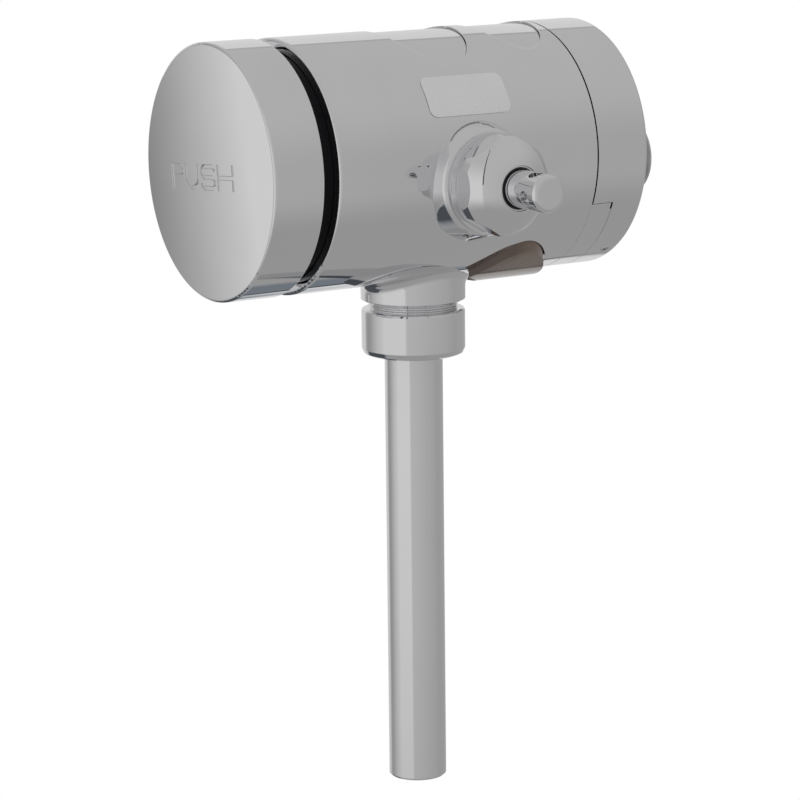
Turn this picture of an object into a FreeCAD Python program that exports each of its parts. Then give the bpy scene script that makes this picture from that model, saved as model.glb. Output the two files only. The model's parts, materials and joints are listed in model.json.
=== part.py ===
import FreeCAD, Part
import math
import os

# Urinal flush valve with a push button, a sensor window, a side stop valve and a flush pipe.
# Modelling axes: Y runs along the round body from the push button (-Y) to the wall end (+Y),
# X points out of the side stop valve, Z is up. Y = 0 is the axis of the flush pipe and Z = 0 is
# the axis of the round body. Every part is moved when it is written out, so that the origin is
# on the axis of the inlet nipple in the plane of the wall.
# All lengths are in millimetres and all angles in degrees.

# Round body
body_radius = 34.1
body_wall = 3.5
body_front = -43.5
body_rear = 37.5
body_edge_round = 0.9
front_wall = 2.9
rear_wall_thickness = 2.0

# Push button
button_length = 14.6
button_gap = 4.7
button_travel = 4.0
button_face_thickness = 3.0
button_wall = 2.7
button_edge_round = 0.7
button_boss_radius = 7.0
button_boss_length = 6.0
sleeve_wall = 2.1
sleeve_flange_land = 5.0
sleeve_flange_thickness = 2.0
bulkhead_rear = -25.0
bulkhead_thickness = 3.0
bulkhead_screw_inset = 6.2
bulkhead_screw_angles = (90.0, 210.0, 330.0)
bulkhead_screw_radius = 1.5
bulkhead_screw_head_radius = 2.8
bulkhead_screw_head_height = 1.6
bulkhead_screw_length = 14.0
screw_boss_radius = 4.0
screw_boss_length = 11.0
stem_radius = 4.0
stem_overhang = 2.5
stem_groove_depth = 0.8
clip_radius = 5.4
clip_thickness = 1.0
clip_opening = 70.0
button_spring_radius = 8.4
button_spring_wire = 0.6
button_spring_turns = 8

# Engraved word on the button face
word_height = 5.7
word_stroke = 1.05
word_depth = 0.4
word_start_x = -19.8
word_centre_z = -1.2
word_turn = 4.7
letter_gap = 1.85
letter_widths = (5.4, 6.5, 7.0, 7.8)

# Relief valve that the button works
relief_boss_gap = 1.0
relief_rod_radius = 1.8
relief_block_radius = 6.5
relief_block_front = -24.6
relief_pad_height = 0.2
relief_front_wall = 1.4
relief_seat_rear = -19.6
relief_seat_thickness = 1.2
relief_seat_radius = 2.4
relief_cavity_radius = 4.6
relief_washer_radius = 3.6
relief_washer_thickness = 1.2
relief_port_radius = 1.1
relief_tube_radius = 1.5
relief_tube_start = 4.3
relief_tube_x = 7.6
relief_tube_y = -22.0
relief_tube_inset = 3.6
relief_tube_bend = 3.0

# Piston valve above the flush pipe
chamber_radius = 9.6
chamber_wall = 3.9
chamber_floor_inset = 9.6
cap_thread_radius = 10.4
cap_depth = 13.5
cap_head_room = 1.6
cap_cavity_radius = 6.0
cap_roof_thickness = 5.0
cap_ring_height = 1.4
seat_height = 3.0
seat_bore_radius = 6.3
seat_lip_height = 0.8
piston_head_room = 3.5
piston_radius = 9.2
piston_skirt_radius = 7.6
piston_cavity_radius = 5.6
piston_floor_thickness = 12.2
piston_lift = 6.0
piston_washer_radius = 8.4
piston_washer_height = 2.0
cup_height = 2.6
piston_spring_radius = 4.7
piston_spring_wire = 0.45
piston_spring_turns = 8
lift_stop_radius = 3.0
lift_key_width = 1.2
lift_key_depth = 0.6
lift_key_reach = 0.9
flow_screw_radius = 1.5
flow_screw_head_radius = 3.4
flow_screw_head_height = 2.0
flow_screw_pitch = 1.0
flow_screw_turns = 4.0
flow_screw_reach = 12.0

# Neck, coupling nut and flush pipe
pipe_radius = 8.0
pipe_wall = 1.0
pipe_into_neck = 13.6
pipe_length = 137.8
pipe_edge = 0.5
pipe_tail_step = 0.4
neck_radius = 14.35
neck_drop = 5.1
neck_fillet = 3.0
neck_thread_radius = 11.85
neck_thread_depth = 0.55
neck_thread_pitch = 1.6
neck_thread_length = 11.4
neck_bore_radius = 8.3
nut_radius = 14.22
nut_gap = 2.7
nut_height = 12.7
nut_lip = 1.6
nut_edge_top = 0.8
nut_edge_bottom = 1.8
slip_ring_height = 0.9
breaker_drop = 2.0
breaker_height = 9.0
breaker_radius = 8.1
breaker_port_radius = 5.2
breaker_disc_radius = 6.6
breaker_disc_height = 1.4
breaker_foot = 1.4
breaker_roof_height = 1.8

# Side stop valve
stop_y = 0.3
stop_z = -3.6
stop_boss_radius = 12.2
stop_flare_radius = 16.2
stop_collar_radius = 14.3
stop_stand = 3.5
stop_root_inset = 6.0
stop_flare_back = 7.0
stop_collar_back = 2.6
stop_collar_edge = 1.0
stop_bore_radius = 8.6
stop_seat = 13.5
stop_port_radius = 4.5
bonnet_thread_length = 12.6
bonnet_washer_radius = 13.5
bonnet_washer_thickness = 1.6
bonnet_nut_radius = 13.5
bonnet_flats = 24.6
bonnet_nut_length = 7.8
bonnet_dome_length = 4.6
bonnet_mouth_radius = 6.0
bonnet_cavity_radius = 6.3
bonnet_cavity_depth = 17.0
spindle_radius = 5.0
spindle_stand = 27.6
spindle_round = 1.4
spindle_collar_thickness = 1.6
spindle_screw_radius = 2.8
spindle_tip_gap = 2.7
spindle_pitch = 1.5
spindle_turns = 3.0
spindle_hole_radius = 1.9
spindle_hole_inset = 4.8
spindle_hole_tilt = -15.0
stop_plug_radius = 6.0
stop_plug_length = 14.0
stop_plug_floor = 1.5
stop_washer_radius = 5.6
stop_washer_thickness = 1.6

# Oval covers on top
front_cover_y = -1.0
front_cover_half_x = 22.0
front_cover_half_y = 12.5
rear_cover_y = 26.2
rear_cover_half_x = 18.5
rear_cover_half_y = 10.1
cover_ledge = 1.0
cover_pocket_depth = 2.2
cover_sink = 0.5
cover_leg_height = 4.5
cover_leg_thickness = 1.2

# Water way from the inlet to the stop valve
inlet_drop = 5.8
inlet_boss_radius = 13.5
inlet_bore_radius = 6.5
inlet_boss_front = 9.0
inlet_bore_front = 17.0
cross_way_start = (0.0, 20.0)
cross_way_end = (22.0, 7.0)
cross_way_radius = 3.8
cross_way_wall = 2.4
nipple_radius = 10.48
nipple_relief_radius = 9.9
nipple_bore_radius = 7.2
nipple_thread_radius = 9.0
nipple_front = 27.0
nipple_collar_radius = 12.8
nipple_collar_thickness = 2.6
nipple_end = 74.0
nipple_edge = 0.8
packing_ring_radius = 14.2
packing_ring_thickness = 2.0
strainer_length = 18.0
strainer_wall = 0.5
strainer_rows = 3
strainer_columns = 6
strainer_hole_radius = 0.5
strainer_hole_spacing = 1.6

# Solenoid pilot valve
solenoid_radius = 7.8
solenoid_height = 15.0
solenoid_base_height = 2.4
solenoid_socket_radius = 5.5
solenoid_socket_depth = 3.2
core_radius = 3.6
core_wall = 0.6
core_end_wall = 1.6
core_overrun = 1.2
plunger_radius = 2.6
plunger_travel = 1.2
plunger_pocket_radius = 1.95
plunger_pocket_depth = 7.2
plunger_spring_radius = 1.5
plunger_spring_wire = 0.25
plunger_spring_turns = 5

# Sensor window and electronics
window_y = 20.3
window_half_x = 25.4
window_half_y = 14.9
window_neck_radius = 17.2
window_gap = 0.4
window_proud = 1.8
window_depth = 2.4
holder_thickness = 1.4
holder_margin = 1.8
eye_radius = 2.4
eye_spacing = 13.0
board_clearance = 1.9
board_side_gap = 3.7
board_thickness = 1.2
board_length = 18.0

# End cap, retaining band and battery
seam_gap = 0.5
cap_end = 54.4
end_cap_wall = 1.8
end_cap_edge_round = 1.0
band_thickness = 2.6
spigot_wall = 2.0
spigot_length = 6.4
band_angle_start = -157.0
band_angle_end = -23.0
band_length = 7.0
band_gap = 0.15
band_notch_angle = 3.2
band_notch_depth = 0.5
grub_angles = (-55.5, -124.5)
grub_inset = 1.8
grub_radius = 1.1
tongue_half_angle = 8.0
battery_half_x = 15.0
battery_height = 14.0
battery_inset = 7.0
battery_front = 42.2
battery_rear = 50.6
case_wall = 0.9
wire_slot_half_x = 6.0
wire_slot_height = 6.0
wire_slot_inset = 13.6
board_margin = 1.0
chip_half_x = 4.0
chip_height = 5.0
chip_low = 4.0
chip_thickness = 0.9
tray_drop = 4.0

# Blank label plate
label_half_y = 12.6
label_width = 11.8
label_centre_y = -1.0
label_rise = 6.3
label_thickness = 0.25
label_corner = 2.2
label_glue = 0.05
label_stamp_reach = 10.0

# Clearances
fit_gap = 0.05
run_gap = 0.08
slide_gap = 0.3
seat_gap = 0.2

# Derived places
button_rear = body_front - button_gap
button_front = button_rear - button_length
button_inside = button_front + button_face_thickness
inner_radius = body_radius - body_wall
front_bore_radius = body_radius - front_wall
sleeve_radius = front_bore_radius - seat_gap
spigot_radius = body_radius - band_thickness
bulkhead_screw_circle = front_bore_radius - bulkhead_screw_inset
sleeve_flange_inner_radius = bulkhead_screw_circle - sleeve_flange_land
relief_height = bulkhead_screw_circle - screw_boss_radius - relief_boss_gap - relief_block_radius
relief_tube_low = relief_tube_inset - inner_radius
cap_top = inner_radius - cap_head_room
cap_bottom = cap_top - cap_depth
cap_roof = cap_top - cap_roof_thickness
chamber_floor = chamber_floor_inset - inner_radius
piston_top = cap_bottom - piston_lift - piston_head_room
flow_screw_end = cap_roof - flow_screw_reach
neck_bottom = -body_radius - neck_drop
neck_end = neck_bottom - neck_thread_length
nut_top = neck_bottom - nut_gap
nut_bottom = nut_top - nut_height
pipe_tail_radius = pipe_radius - pipe_tail_step
pipe_top = neck_end + pipe_into_neck
pipe_bottom = pipe_top - pipe_length
stop_face = body_radius + stop_stand
bonnet_start = stop_face - bonnet_thread_length
bonnet_cavity_end = bonnet_start + bonnet_cavity_depth
spindle_end = stop_face + spindle_stand
spindle_hole_x = spindle_end - spindle_hole_inset
battery_high = spigot_radius - battery_inset
battery_low = battery_high - battery_height
bulkhead_front = bulkhead_rear - bulkhead_thickness
sleeve_front = button_inside + button_travel + 0.8
rear_wall_front = body_rear - rear_wall_thickness
cap_front = body_rear + seam_gap
chamber_boss_radius = chamber_radius + chamber_wall
inlet_z = -inlet_drop
board_z = inlet_z - inlet_boss_radius - board_clearance - board_thickness
board_half_x = math.sqrt((inner_radius - holder_thickness) ** 2 - board_z ** 2) - board_side_gap
bonnet_nut_start = stop_face + bonnet_washer_thickness + seat_gap
bonnet_nut_end = bonnet_nut_start + bonnet_nut_length
bonnet_mouth = bonnet_nut_end + bonnet_dome_length
cover_inside_radius = body_radius - cover_pocket_depth + 0.1
seat_top = chamber_floor
seat_bottom = seat_top - seat_height
breaker_top = seat_bottom - breaker_drop
washer_bottom = seat_top + seat_lip_height
piston_body_bottom = washer_bottom + piston_washer_height
piston_cavity_floor = piston_body_bottom + piston_floor_thickness
lift_stop_travel = flow_screw_pitch * flow_screw_turns
lift_stop_top = cap_roof - 1.0
lift_stop_bottom = piston_cavity_floor + piston_lift + seat_gap + lift_stop_travel
stop_travel = spindle_pitch * spindle_turns
stop_plug_face = stop_seat + seat_gap + stop_travel
spindle_screw_end = stop_plug_face + stop_washer_thickness + stop_plug_floor + spindle_tip_gap
breaker_roof = breaker_top - breaker_roof_height
wall_face = cap_end + seat_gap + packing_ring_thickness
tongue_end = cap_end - end_cap_wall - slide_gap
grub_y = tongue_end - grub_inset
relief_block_rear = -chamber_boss_radius - relief_pad_height
core_bottom = inlet_z + inlet_boss_radius - solenoid_socket_depth
solenoid_bottom = inlet_z + inlet_boss_radius + seat_gap
core_top = solenoid_bottom + solenoid_base_height + solenoid_height + core_overrun
core_floor = core_bottom + core_end_wall
core_roof = core_top - core_end_wall
plunger_bottom = core_floor + seat_gap
plunger_top = core_roof - seat_gap - plunger_travel
label_angle = math.degrees(math.asin((stop_z + stop_flare_radius + label_rise) / body_radius))
big = 4.0 * body_radius


def rod(axis, radius, start, end, centre=(0.0, 0.0)):
    """Round bar along an axis; centre holds the other two coordinates in X, Y, Z order."""
    first, second = centre
    place = {
        "X": (FreeCAD.Vector(start, first, second), FreeCAD.Vector(1, 0, 0)),
        "Y": (FreeCAD.Vector(first, start, second), FreeCAD.Vector(0, 1, 0)),
        "Z": (FreeCAD.Vector(first, second, start), FreeCAD.Vector(0, 0, 1)),
    }[axis]
    return Part.makeCylinder(radius, end - start, place[0], place[1])


def tube(axis, outer, inner, start, end, centre=(0.0, 0.0)):
    """Round tube along an axis."""
    return rod(axis, outer, start, end, centre).cut(rod(axis, inner, start - 1.0, end + 1.0, centre))


def block(x_range, y_range, z_range):
    """Box between two corners, given as a pair of limits along each axis."""
    size = [high - low for low, high in (x_range, y_range, z_range)]
    corner = FreeCAD.Vector(x_range[0], y_range[0], z_range[0])
    return Part.makeBox(size[0], size[1], size[2], corner)


def turned(axis, profile, centre=(0.0, 0.0)):
    """Turned solid: profile is a closed list of (distance along the axis, radius)."""
    first, second = centre
    points = []
    for along, radius in profile:
        points.append({
            "X": FreeCAD.Vector(along, first, second + radius),
            "Y": FreeCAD.Vector(first + radius, along, second),
            "Z": FreeCAD.Vector(first + radius, second, along),
        }[axis])
    face = Part.Face(Part.makePolygon(points + [points[0]]))
    base, direction = {
        "X": (FreeCAD.Vector(0, first, second), FreeCAD.Vector(1, 0, 0)),
        "Y": (FreeCAD.Vector(first, 0, second), FreeCAD.Vector(0, 1, 0)),
        "Z": (FreeCAD.Vector(first, second, 0), FreeCAD.Vector(0, 0, 1)),
    }[axis]
    return face.revolve(base, direction, 360)


def oval(half_x, half_y, low, high, centre_y):
    """Upright oval prism, longer across the body (X) than along it (Y)."""
    ellipse = Part.Ellipse(FreeCAD.Vector(0, centre_y, low), half_x, half_y)
    face = Part.Face(Part.Wire(ellipse.toShape()))
    return face.extrude(FreeCAD.Vector(0, 0, high - low))


def wedge(angle_start, angle_end, start, end):
    """Pie slice about the body axis between two angles, measured from +X towards +Z."""
    steps = 4
    points = [FreeCAD.Vector(0, start, 0)]
    for step in range(steps + 1):
        angle = math.radians(angle_start + (angle_end - angle_start) * step / steps)
        points.append(FreeCAD.Vector(big * math.cos(angle), start, big * math.sin(angle)))
    face = Part.Face(Part.makePolygon(points + [points[0]]))
    return face.extrude(FreeCAD.Vector(0, end - start, 0))


def bent_between(start, corner, end):
    """Arc from start to end whose end tangents both pass through the corner point."""
    middle = start.add(end).multiply(0.5)
    share = middle.sub(start).Length / corner.sub(start).Length
    top = middle.add(corner.sub(middle).multiply(share / (1.0 + share)))
    return Part.Arc(start, top, end).toShape()


def helix_path(mean_radius, height, turns):
    """Helix about Z, as two smoothly joined arcs for each quarter turn."""
    rise = height / (2.0 * math.pi * turns)
    slope = math.hypot(mean_radius, rise)
    quarters = 4 * turns
    places = []
    for index in range(quarters + 1):
        angle = 0.5 * math.pi * index
        point = FreeCAD.Vector(mean_radius * math.cos(angle), mean_radius * math.sin(angle), rise * angle)
        tangent = FreeCAD.Vector(-mean_radius * math.sin(angle), mean_radius * math.cos(angle), rise)
        places.append((point, tangent.multiply(1.0 / slope)))
    edges = []
    for (start, leave), (end, arrive) in zip(places[:-1], places[1:]):
        chord = end.sub(start)
        along = chord.dot(leave.add(arrive))
        bend = 2.0 * (1.0 - leave.dot(arrive))
        reach = (math.sqrt(along ** 2 + bend * chord.dot(chord)) - along) / bend
        first = start.add(FreeCAD.Vector(leave).multiply(reach))
        second = end.sub(FreeCAD.Vector(arrive).multiply(reach))
        middle = first.add(second).multiply(0.5)
        edges.append(bent_between(start, first, middle))
        edges.append(bent_between(middle, second, end))
    return Part.Wire(edges)


def coil(axis, mean_radius, wire_radius, start, end, turns, centre=(0.0, 0.0)):
    """Compression spring: one round wire wound as a helix between two seats."""
    low = start + wire_radius
    height = end - start - 2.0 * wire_radius
    rise = height / (2.0 * math.pi * turns)
    ring = Part.Circle(FreeCAD.Vector(mean_radius, 0, 0), FreeCAD.Vector(0, mean_radius, rise), wire_radius)
    path = helix_path(mean_radius, height, turns)
    spring = Part.Solid(path.makePipeShell([Part.Wire(ring.toShape())], True, False))
    first, second = centre
    if axis == "Y":
        spring.rotate(FreeCAD.Vector(0, 0, 0), FreeCAD.Vector(1, 0, 0), -90)
        spring.translate(FreeCAD.Vector(first, low, second))
    else:
        spring.translate(FreeCAD.Vector(first, second, low))
    return spring


def round_edges(shape, radius, wanted):
    """Round the edges that the test function picks."""
    edges = [edge for edge in shape.Edges if wanted(edge)]
    return shape.makeFillet(radius, edges)


def ring_edge(axis_index, place, radius):
    """Test for a full circle of one radius that lies in one plane across an axis."""
    def wanted(edge):
        if not isinstance(edge.Curve, Part.Circle):
            return False
        centre = edge.Curve.Center
        near = abs((centre.x, centre.y, centre.z)[axis_index] - place) < 0.01
        return near and abs(edge.Curve.Radius - radius) < 0.01
    return wanted


def on_circle(radius, angle):
    """Point across the body axis, as (x, z)."""
    return (radius * math.cos(math.radians(angle)), radius * math.sin(math.radians(angle)))


def threaded(axis, crest, depth, pitch, start, end, bore):
    """Threaded tube, with its thread as a row of rings cut to the root."""
    profile = [(start, bore), (start, crest - depth)]
    count = max(1, int((end - start) / pitch))
    step = (end - start) / count
    for index in range(count):
        at = start + index * step
        profile.append((at + 0.30 * step, crest))
        profile.append((at + 0.55 * step, crest))
        profile.append((at + step, crest - depth))
    profile.append((end, bore))
    return turned(axis, profile)


def screw(start, shank_length, centre):
    """Pan head screw along +Y, head at the front, with a cross recess."""
    head = rod("Y", bulkhead_screw_head_radius, start - bulkhead_screw_head_height, start, centre)
    shank = rod("Y", bulkhead_screw_radius, start, start + shank_length, centre)
    x, z = centre
    depth = (start - bulkhead_screw_head_height - 1.0, start - 0.7 * bulkhead_screw_head_height)
    cross = block((x - 1.7, x + 1.7), depth, (z - 0.35, z + 0.35))
    cross = cross.fuse(block((x - 0.35, x + 0.35), depth, (z - 1.7, z + 1.7)))
    return head.fuse(shank).cut(cross)


# Body casting

def stop_boss_outside():
    """Flared boss on the side of the body that carries the stop valve bonnet."""
    profile = [
        (0.0, 0.0),
        (0.0, stop_boss_radius),
        (inner_radius - stop_root_inset, stop_boss_radius),
        (stop_face - stop_flare_back, stop_flare_radius),
        (stop_face - stop_collar_back, stop_collar_radius + 0.5),
        (stop_face - stop_collar_edge, stop_collar_radius),
        (stop_face - 0.4 * stop_collar_edge, stop_collar_radius - 0.3),
        (stop_face, stop_collar_radius - 0.9),
        (stop_face, 0.0),
    ]
    return turned("X", profile, (stop_y, stop_z))


def cross_way(radius, overrun):
    """Slanting round way between the inlet bore and the stop valve bore."""
    start = FreeCAD.Vector(cross_way_start[0], cross_way_start[1], inlet_z)
    end = FreeCAD.Vector(cross_way_end[0], cross_way_end[1], stop_z)
    direction = end.sub(start)
    length = direction.Length
    direction.normalize()
    begin = start.sub(direction.multiply(overrun))
    return Part.makeCylinder(radius, length + 2.0 * overrun, begin, end.sub(start))


def neck_outside():
    """Round neck under the body with its threaded tail."""
    shaft = rod("Z", neck_radius, neck_bottom, -inner_radius + 4.0)
    chamfer_height = 1.7
    cone = turned("Z", [
        (neck_bottom - chamfer_height, 0.0),
        (neck_bottom - chamfer_height, neck_thread_radius - neck_thread_depth),
        (neck_bottom, neck_radius),
        (neck_bottom, 0.0),
    ])
    thread_top = neck_bottom - chamfer_height
    tail = threaded("Z", neck_thread_radius, neck_thread_depth, neck_thread_pitch,
                    neck_end, thread_top, neck_bore_radius)
    return shaft, cone.fuse(tail)


def make_body():
    """Chromed brass casting: round shell, valve chamber, stop boss, inlet boss and outlet neck."""
    shaft, tail = neck_outside()
    outside = rod("Y", body_radius, body_front, body_rear)
    flare = stop_boss_outside()
    outer = outside.fuse([flare, shaft])
    outer = round_edges(outer, body_edge_round, ring_edge(1, body_front, body_radius))
    outer = blend_neck(outer)
    hollow = rod("Y", inner_radius, bulkhead_rear, rear_wall_front)
    front = rod("Y", front_bore_radius, body_front - 1.0, bulkhead_rear)
    shell = outer.cut(hollow.fuse(front))
    inside = [
        rod("Z", chamber_boss_radius, -inner_radius - 1.0, cap_top - 0.3),
        flare.common(rod("Y", inner_radius + 0.5, -big, big)),
        rod("Y", inlet_boss_radius, inlet_boss_front, body_rear, (0.0, inlet_z)),
        cross_way(cross_way_radius + cross_way_wall, 0.0),
        rod("Y", relief_block_radius, relief_block_rear, 0.0, (0.0, relief_height)),
        tail,
        tube("Y", spigot_radius, spigot_radius - spigot_wall, body_rear - 1.0, body_rear + spigot_length),
    ]
    for angle in bulkhead_screw_angles:
        centre = on_circle(bulkhead_screw_circle, angle)
        boss = rod("Y", screw_boss_radius, bulkhead_rear, bulkhead_rear + screw_boss_length, centre)
        web = rod("Y", screw_boss_radius, bulkhead_rear, bulkhead_rear + screw_boss_length,
                  on_circle(bulkhead_screw_circle + 3.5, angle))
        inside.append(boss.fuse(web).common(rod("Y", inner_radius + 0.5, -big, big)))
    for angle in grub_angles:
        tongue = tube("Y", spigot_radius, spigot_radius - spigot_wall, body_rear - 1.0, tongue_end)
        inside.append(tongue.common(wedge(angle - tongue_half_angle, angle + tongue_half_angle,
                                          body_rear - 2.0, cap_end)))
    solid = shell.fuse(inside)
    return solid.cut(body_cuts()).removeSplitter()


def blend_neck(shape):
    """Fillet where the neck meets the round body."""
    edges = []
    for edge in shape.Edges:
        box = edge.BoundBox
        inside_neck = box.XMax < neck_radius + 0.5 and box.XMin > -neck_radius - 0.5
        if inside_neck and box.ZMax < -inner_radius + 2.5 and box.ZMin > neck_bottom + 1.0:
            if box.XLength > neck_radius and box.YMax < neck_radius + 0.5:
                edges.append(edge)
    return shape.makeFillet(neck_fillet, edges)


def body_cuts():
    """Every bore, pocket and opening of the body casting."""
    cuts = [
        rod("Z", chamber_radius, seat_bottom, cap_bottom),
        rod("Z", cap_thread_radius, cap_bottom, big),
        rod("Z", neck_bore_radius, neck_end - 1.0, seat_bottom + 0.01),
        rod("X", stop_port_radius, 0.0, stop_seat + 0.1, (stop_y, stop_z)),
        rod("X", stop_bore_radius, stop_seat, stop_face + 1.0, (stop_y, stop_z)),
        rod("Y", inlet_bore_radius, inlet_bore_front, nipple_front, (0.0, inlet_z)),
        rod("Y", nipple_thread_radius + fit_gap, nipple_front, body_rear + 1.0, (0.0, inlet_z)),
        cross_way(cross_way_radius, 0.0),
        rod("Y", relief_port_radius, relief_block_rear - 0.5, -0.5 * chamber_radius, (0.0, relief_height)),
        rod("Y", relief_tube_radius + fit_gap, -chamber_boss_radius - 1.0, relief_tube_end() + 0.2,
            (relief_tube_x, relief_tube_low)),
        rod("Y", relief_port_radius, relief_tube_end(), 0.0, (relief_tube_x, relief_tube_low)),
        rod("Z", solenoid_socket_radius + fit_gap, core_bottom, inlet_z + inlet_boss_radius + 1.0,
            (0.0, rear_cover_y)),
        rod("Z", relief_port_radius, inlet_z, core_bottom + 0.1, (0.0, rear_cover_y)),
    ]
    cuts.append(cover_pocket(front_cover_half_x, front_cover_half_y, front_cover_y))
    cuts.append(cover_pocket(rear_cover_half_x, rear_cover_half_y, rear_cover_y))
    opening = oval(window_half_x + window_gap, window_half_y + window_gap, -big, -inner_radius / 3.0,
                   window_y)
    opening = opening.cut(rod("Y", inner_radius - 0.5, -big, big))
    opening = opening.cut(rod("Z", window_neck_radius - window_gap, -big, big))
    cuts.append(opening)
    for angle in bulkhead_screw_angles:
        centre = on_circle(bulkhead_screw_circle, angle)
        cuts.append(rod("Y", bulkhead_screw_radius + fit_gap, bulkhead_rear - 1.0,
                        bulkhead_rear + bulkhead_screw_length - bulkhead_thickness, centre))
    for angle in grub_angles:
        cuts.append(radial_rod(grub_radius + fit_gap, spigot_radius - spigot_wall - 1.0, body_radius,
                               angle, grub_y))
    slot_top = inner_radius - wire_slot_inset
    cuts.append(block((-wire_slot_half_x, wire_slot_half_x), (rear_wall_front - 1.0, body_rear + 1.0),
                      (slot_top - wire_slot_height, slot_top)))
    return cuts


def radial_rod(radius, low, high, angle, y):
    """Round bar that points outwards from the body axis at one angle."""
    direction = FreeCAD.Vector(math.cos(math.radians(angle)), 0, math.sin(math.radians(angle)))
    start = FreeCAD.Vector(direction.x * low, y, direction.z * low)
    return Part.makeCylinder(radius, high - low, start, direction)


def cover_pocket(half_x, half_y, centre_y):
    """Pocket in the shell for an oval cover, with a ledge round a smaller opening."""
    pocket = oval(half_x, half_y, 0.0, big, centre_y)
    pocket = pocket.cut(rod("Y", body_radius - cover_pocket_depth, -big, big))
    opening = oval(half_x - cover_ledge, half_y - cover_ledge, 0.0, big, centre_y)
    opening = opening.cut(rod("Y", inner_radius - 0.2, -big, big))
    return pocket.fuse(opening)


def make_cover(half_x, half_y, centre_y):
    """Oval snap-in cover that follows the body, with two legs."""
    plate = oval(half_x - seat_gap, half_y - seat_gap, 0.0, big, centre_y)
    plate = plate.common(tube("Y", body_radius - cover_sink, cover_inside_radius, -big, big))
    legs = []
    for side in (-1.0, 1.0):
        near = side * (half_x - cover_ledge - 3.8)
        far = near + side * cover_leg_thickness
        top = cover_inside_radius ** 2 - max(abs(near), abs(far)) ** 2
        top = math.sqrt(top) + 0.6
        limits = (min(near, far), max(near, far))
        legs.append(block(limits, (centre_y - 3.0, centre_y + 3.0), (top - cover_leg_height, top)))
    return plate.fuse(legs)


# Push button group

def letter_bar(x1, z1, x2, z2):
    """Straight stroke of a letter between two points on the button face."""
    length = math.hypot(x2 - x1, z2 - z1)
    bar = Part.makeBox(length + word_stroke, 2.0 * word_depth, word_stroke,
                       FreeCAD.Vector(-0.5 * word_stroke, -word_depth, -0.5 * word_stroke))
    turn = -math.degrees(math.atan2(z2 - z1, x2 - x1))
    bar.rotate(FreeCAD.Vector(0, 0, 0), FreeCAD.Vector(0, 1, 0), turn)
    bar.translate(FreeCAD.Vector(x1, button_front, z1))
    return bar


def letter_arc(x, z, radius, start, sweep):
    """Curved stroke of a letter, from a start angle through a sweep."""
    half = 0.5 * word_stroke
    corners = [
        FreeCAD.Vector(radius - half, -word_depth, 0),
        FreeCAD.Vector(radius + half, -word_depth, 0),
        FreeCAD.Vector(radius + half, word_depth, 0),
        FreeCAD.Vector(radius - half, word_depth, 0),
    ]
    face = Part.Face(Part.makePolygon(corners + [corners[0]]))
    arc = face.revolve(FreeCAD.Vector(0, 0, 0), FreeCAD.Vector(0, -1, 0), sweep)
    arc.rotate(FreeCAD.Vector(0, 0, 0), FreeCAD.Vector(0, -1, 0), start)
    arc.translate(FreeCAD.Vector(x, button_front, z))
    return arc


def push_word():
    """Strokes of the engraved word PUSH, turned a little about the button's axis."""
    low = word_centre_z - 0.5 * word_height
    high = word_centre_z + 0.5 * word_height
    quarter = 0.25 * word_height
    middle = word_centre_z
    starts = []
    x = word_start_x
    for width in letter_widths:
        starts.append(x)
        x += width + letter_gap
    p, u, s, h = starts
    p_end = p + letter_widths[0]
    u_end = u + letter_widths[1]
    s_end = s + letter_widths[2]
    h_end = h + letter_widths[3]
    u_round = 0.5 * (u_end - u)
    strokes = [
        letter_bar(p, low, p, high),
        letter_bar(p, high, p_end - quarter, high),
        letter_bar(p, middle, p_end - quarter, middle),
        letter_arc(p_end - quarter, middle + quarter, quarter, -90, 180),
        letter_bar(u, low + u_round, u, high),
        letter_bar(u_end, low + u_round, u_end, high),
        letter_arc(u + u_round, low + u_round, u_round, 180, 180),
        letter_bar(s + quarter, high, s_end - quarter, high),
        letter_bar(s + quarter, middle, s_end - quarter, middle),
        letter_bar(s + quarter, low, s_end - quarter, low),
        letter_arc(s + quarter, middle + quarter, quarter, 90, 180),
        letter_arc(s_end - quarter, middle - quarter, quarter, -90, 180),
        letter_arc(s_end - quarter, high - quarter, quarter, 10, 80),
        letter_arc(s + quarter, low + quarter, quarter, 190, 80),
        letter_bar(h, low, h, high),
        letter_bar(h_end, low, h_end, high),
        letter_bar(h, middle, h_end, middle),
    ]
    for stroke in strokes:
        stroke.rotate(FreeCAD.Vector(0, 0, 0), FreeCAD.Vector(0, -1, 0), word_turn)
    return strokes


def make_push_button():
    """Large round chromed button cap with the engraved word on its face."""
    cap = rod("Y", body_radius, button_front, button_rear)
    cap = round_edges(cap, button_edge_round, ring_edge(1, button_front, body_radius))
    cap = cap.cut(rod("Y", body_radius - button_wall, button_inside, button_rear + 1.0))
    stem_boss = rod("Y", button_boss_radius, button_inside - 0.5, button_inside + button_boss_length)
    rod_boss = rod("Y", 2.2 * relief_rod_radius, button_inside - 0.5, button_inside + button_boss_length,
                   (0.0, relief_height))
    cap = cap.fuse([stem_boss, rod_boss])
    cap = cap.cut([
        rod("Y", stem_radius + fit_gap, button_inside, button_rear),
        rod("Y", relief_rod_radius + fit_gap, button_inside, button_rear, (0.0, relief_height)),
    ])
    return cap.cut(push_word())


def make_button_stem():
    """Guide stem that carries the button through the bulkhead."""
    end = bulkhead_rear + stem_overhang
    stem = rod("Y", stem_radius, button_inside, end)
    groove_start = bulkhead_rear + seat_gap
    groove = tube("Y", stem_radius + 1.0, stem_radius - stem_groove_depth,
                  groove_start - fit_gap, groove_start + clip_thickness + fit_gap)
    return stem.cut(groove)


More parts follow.
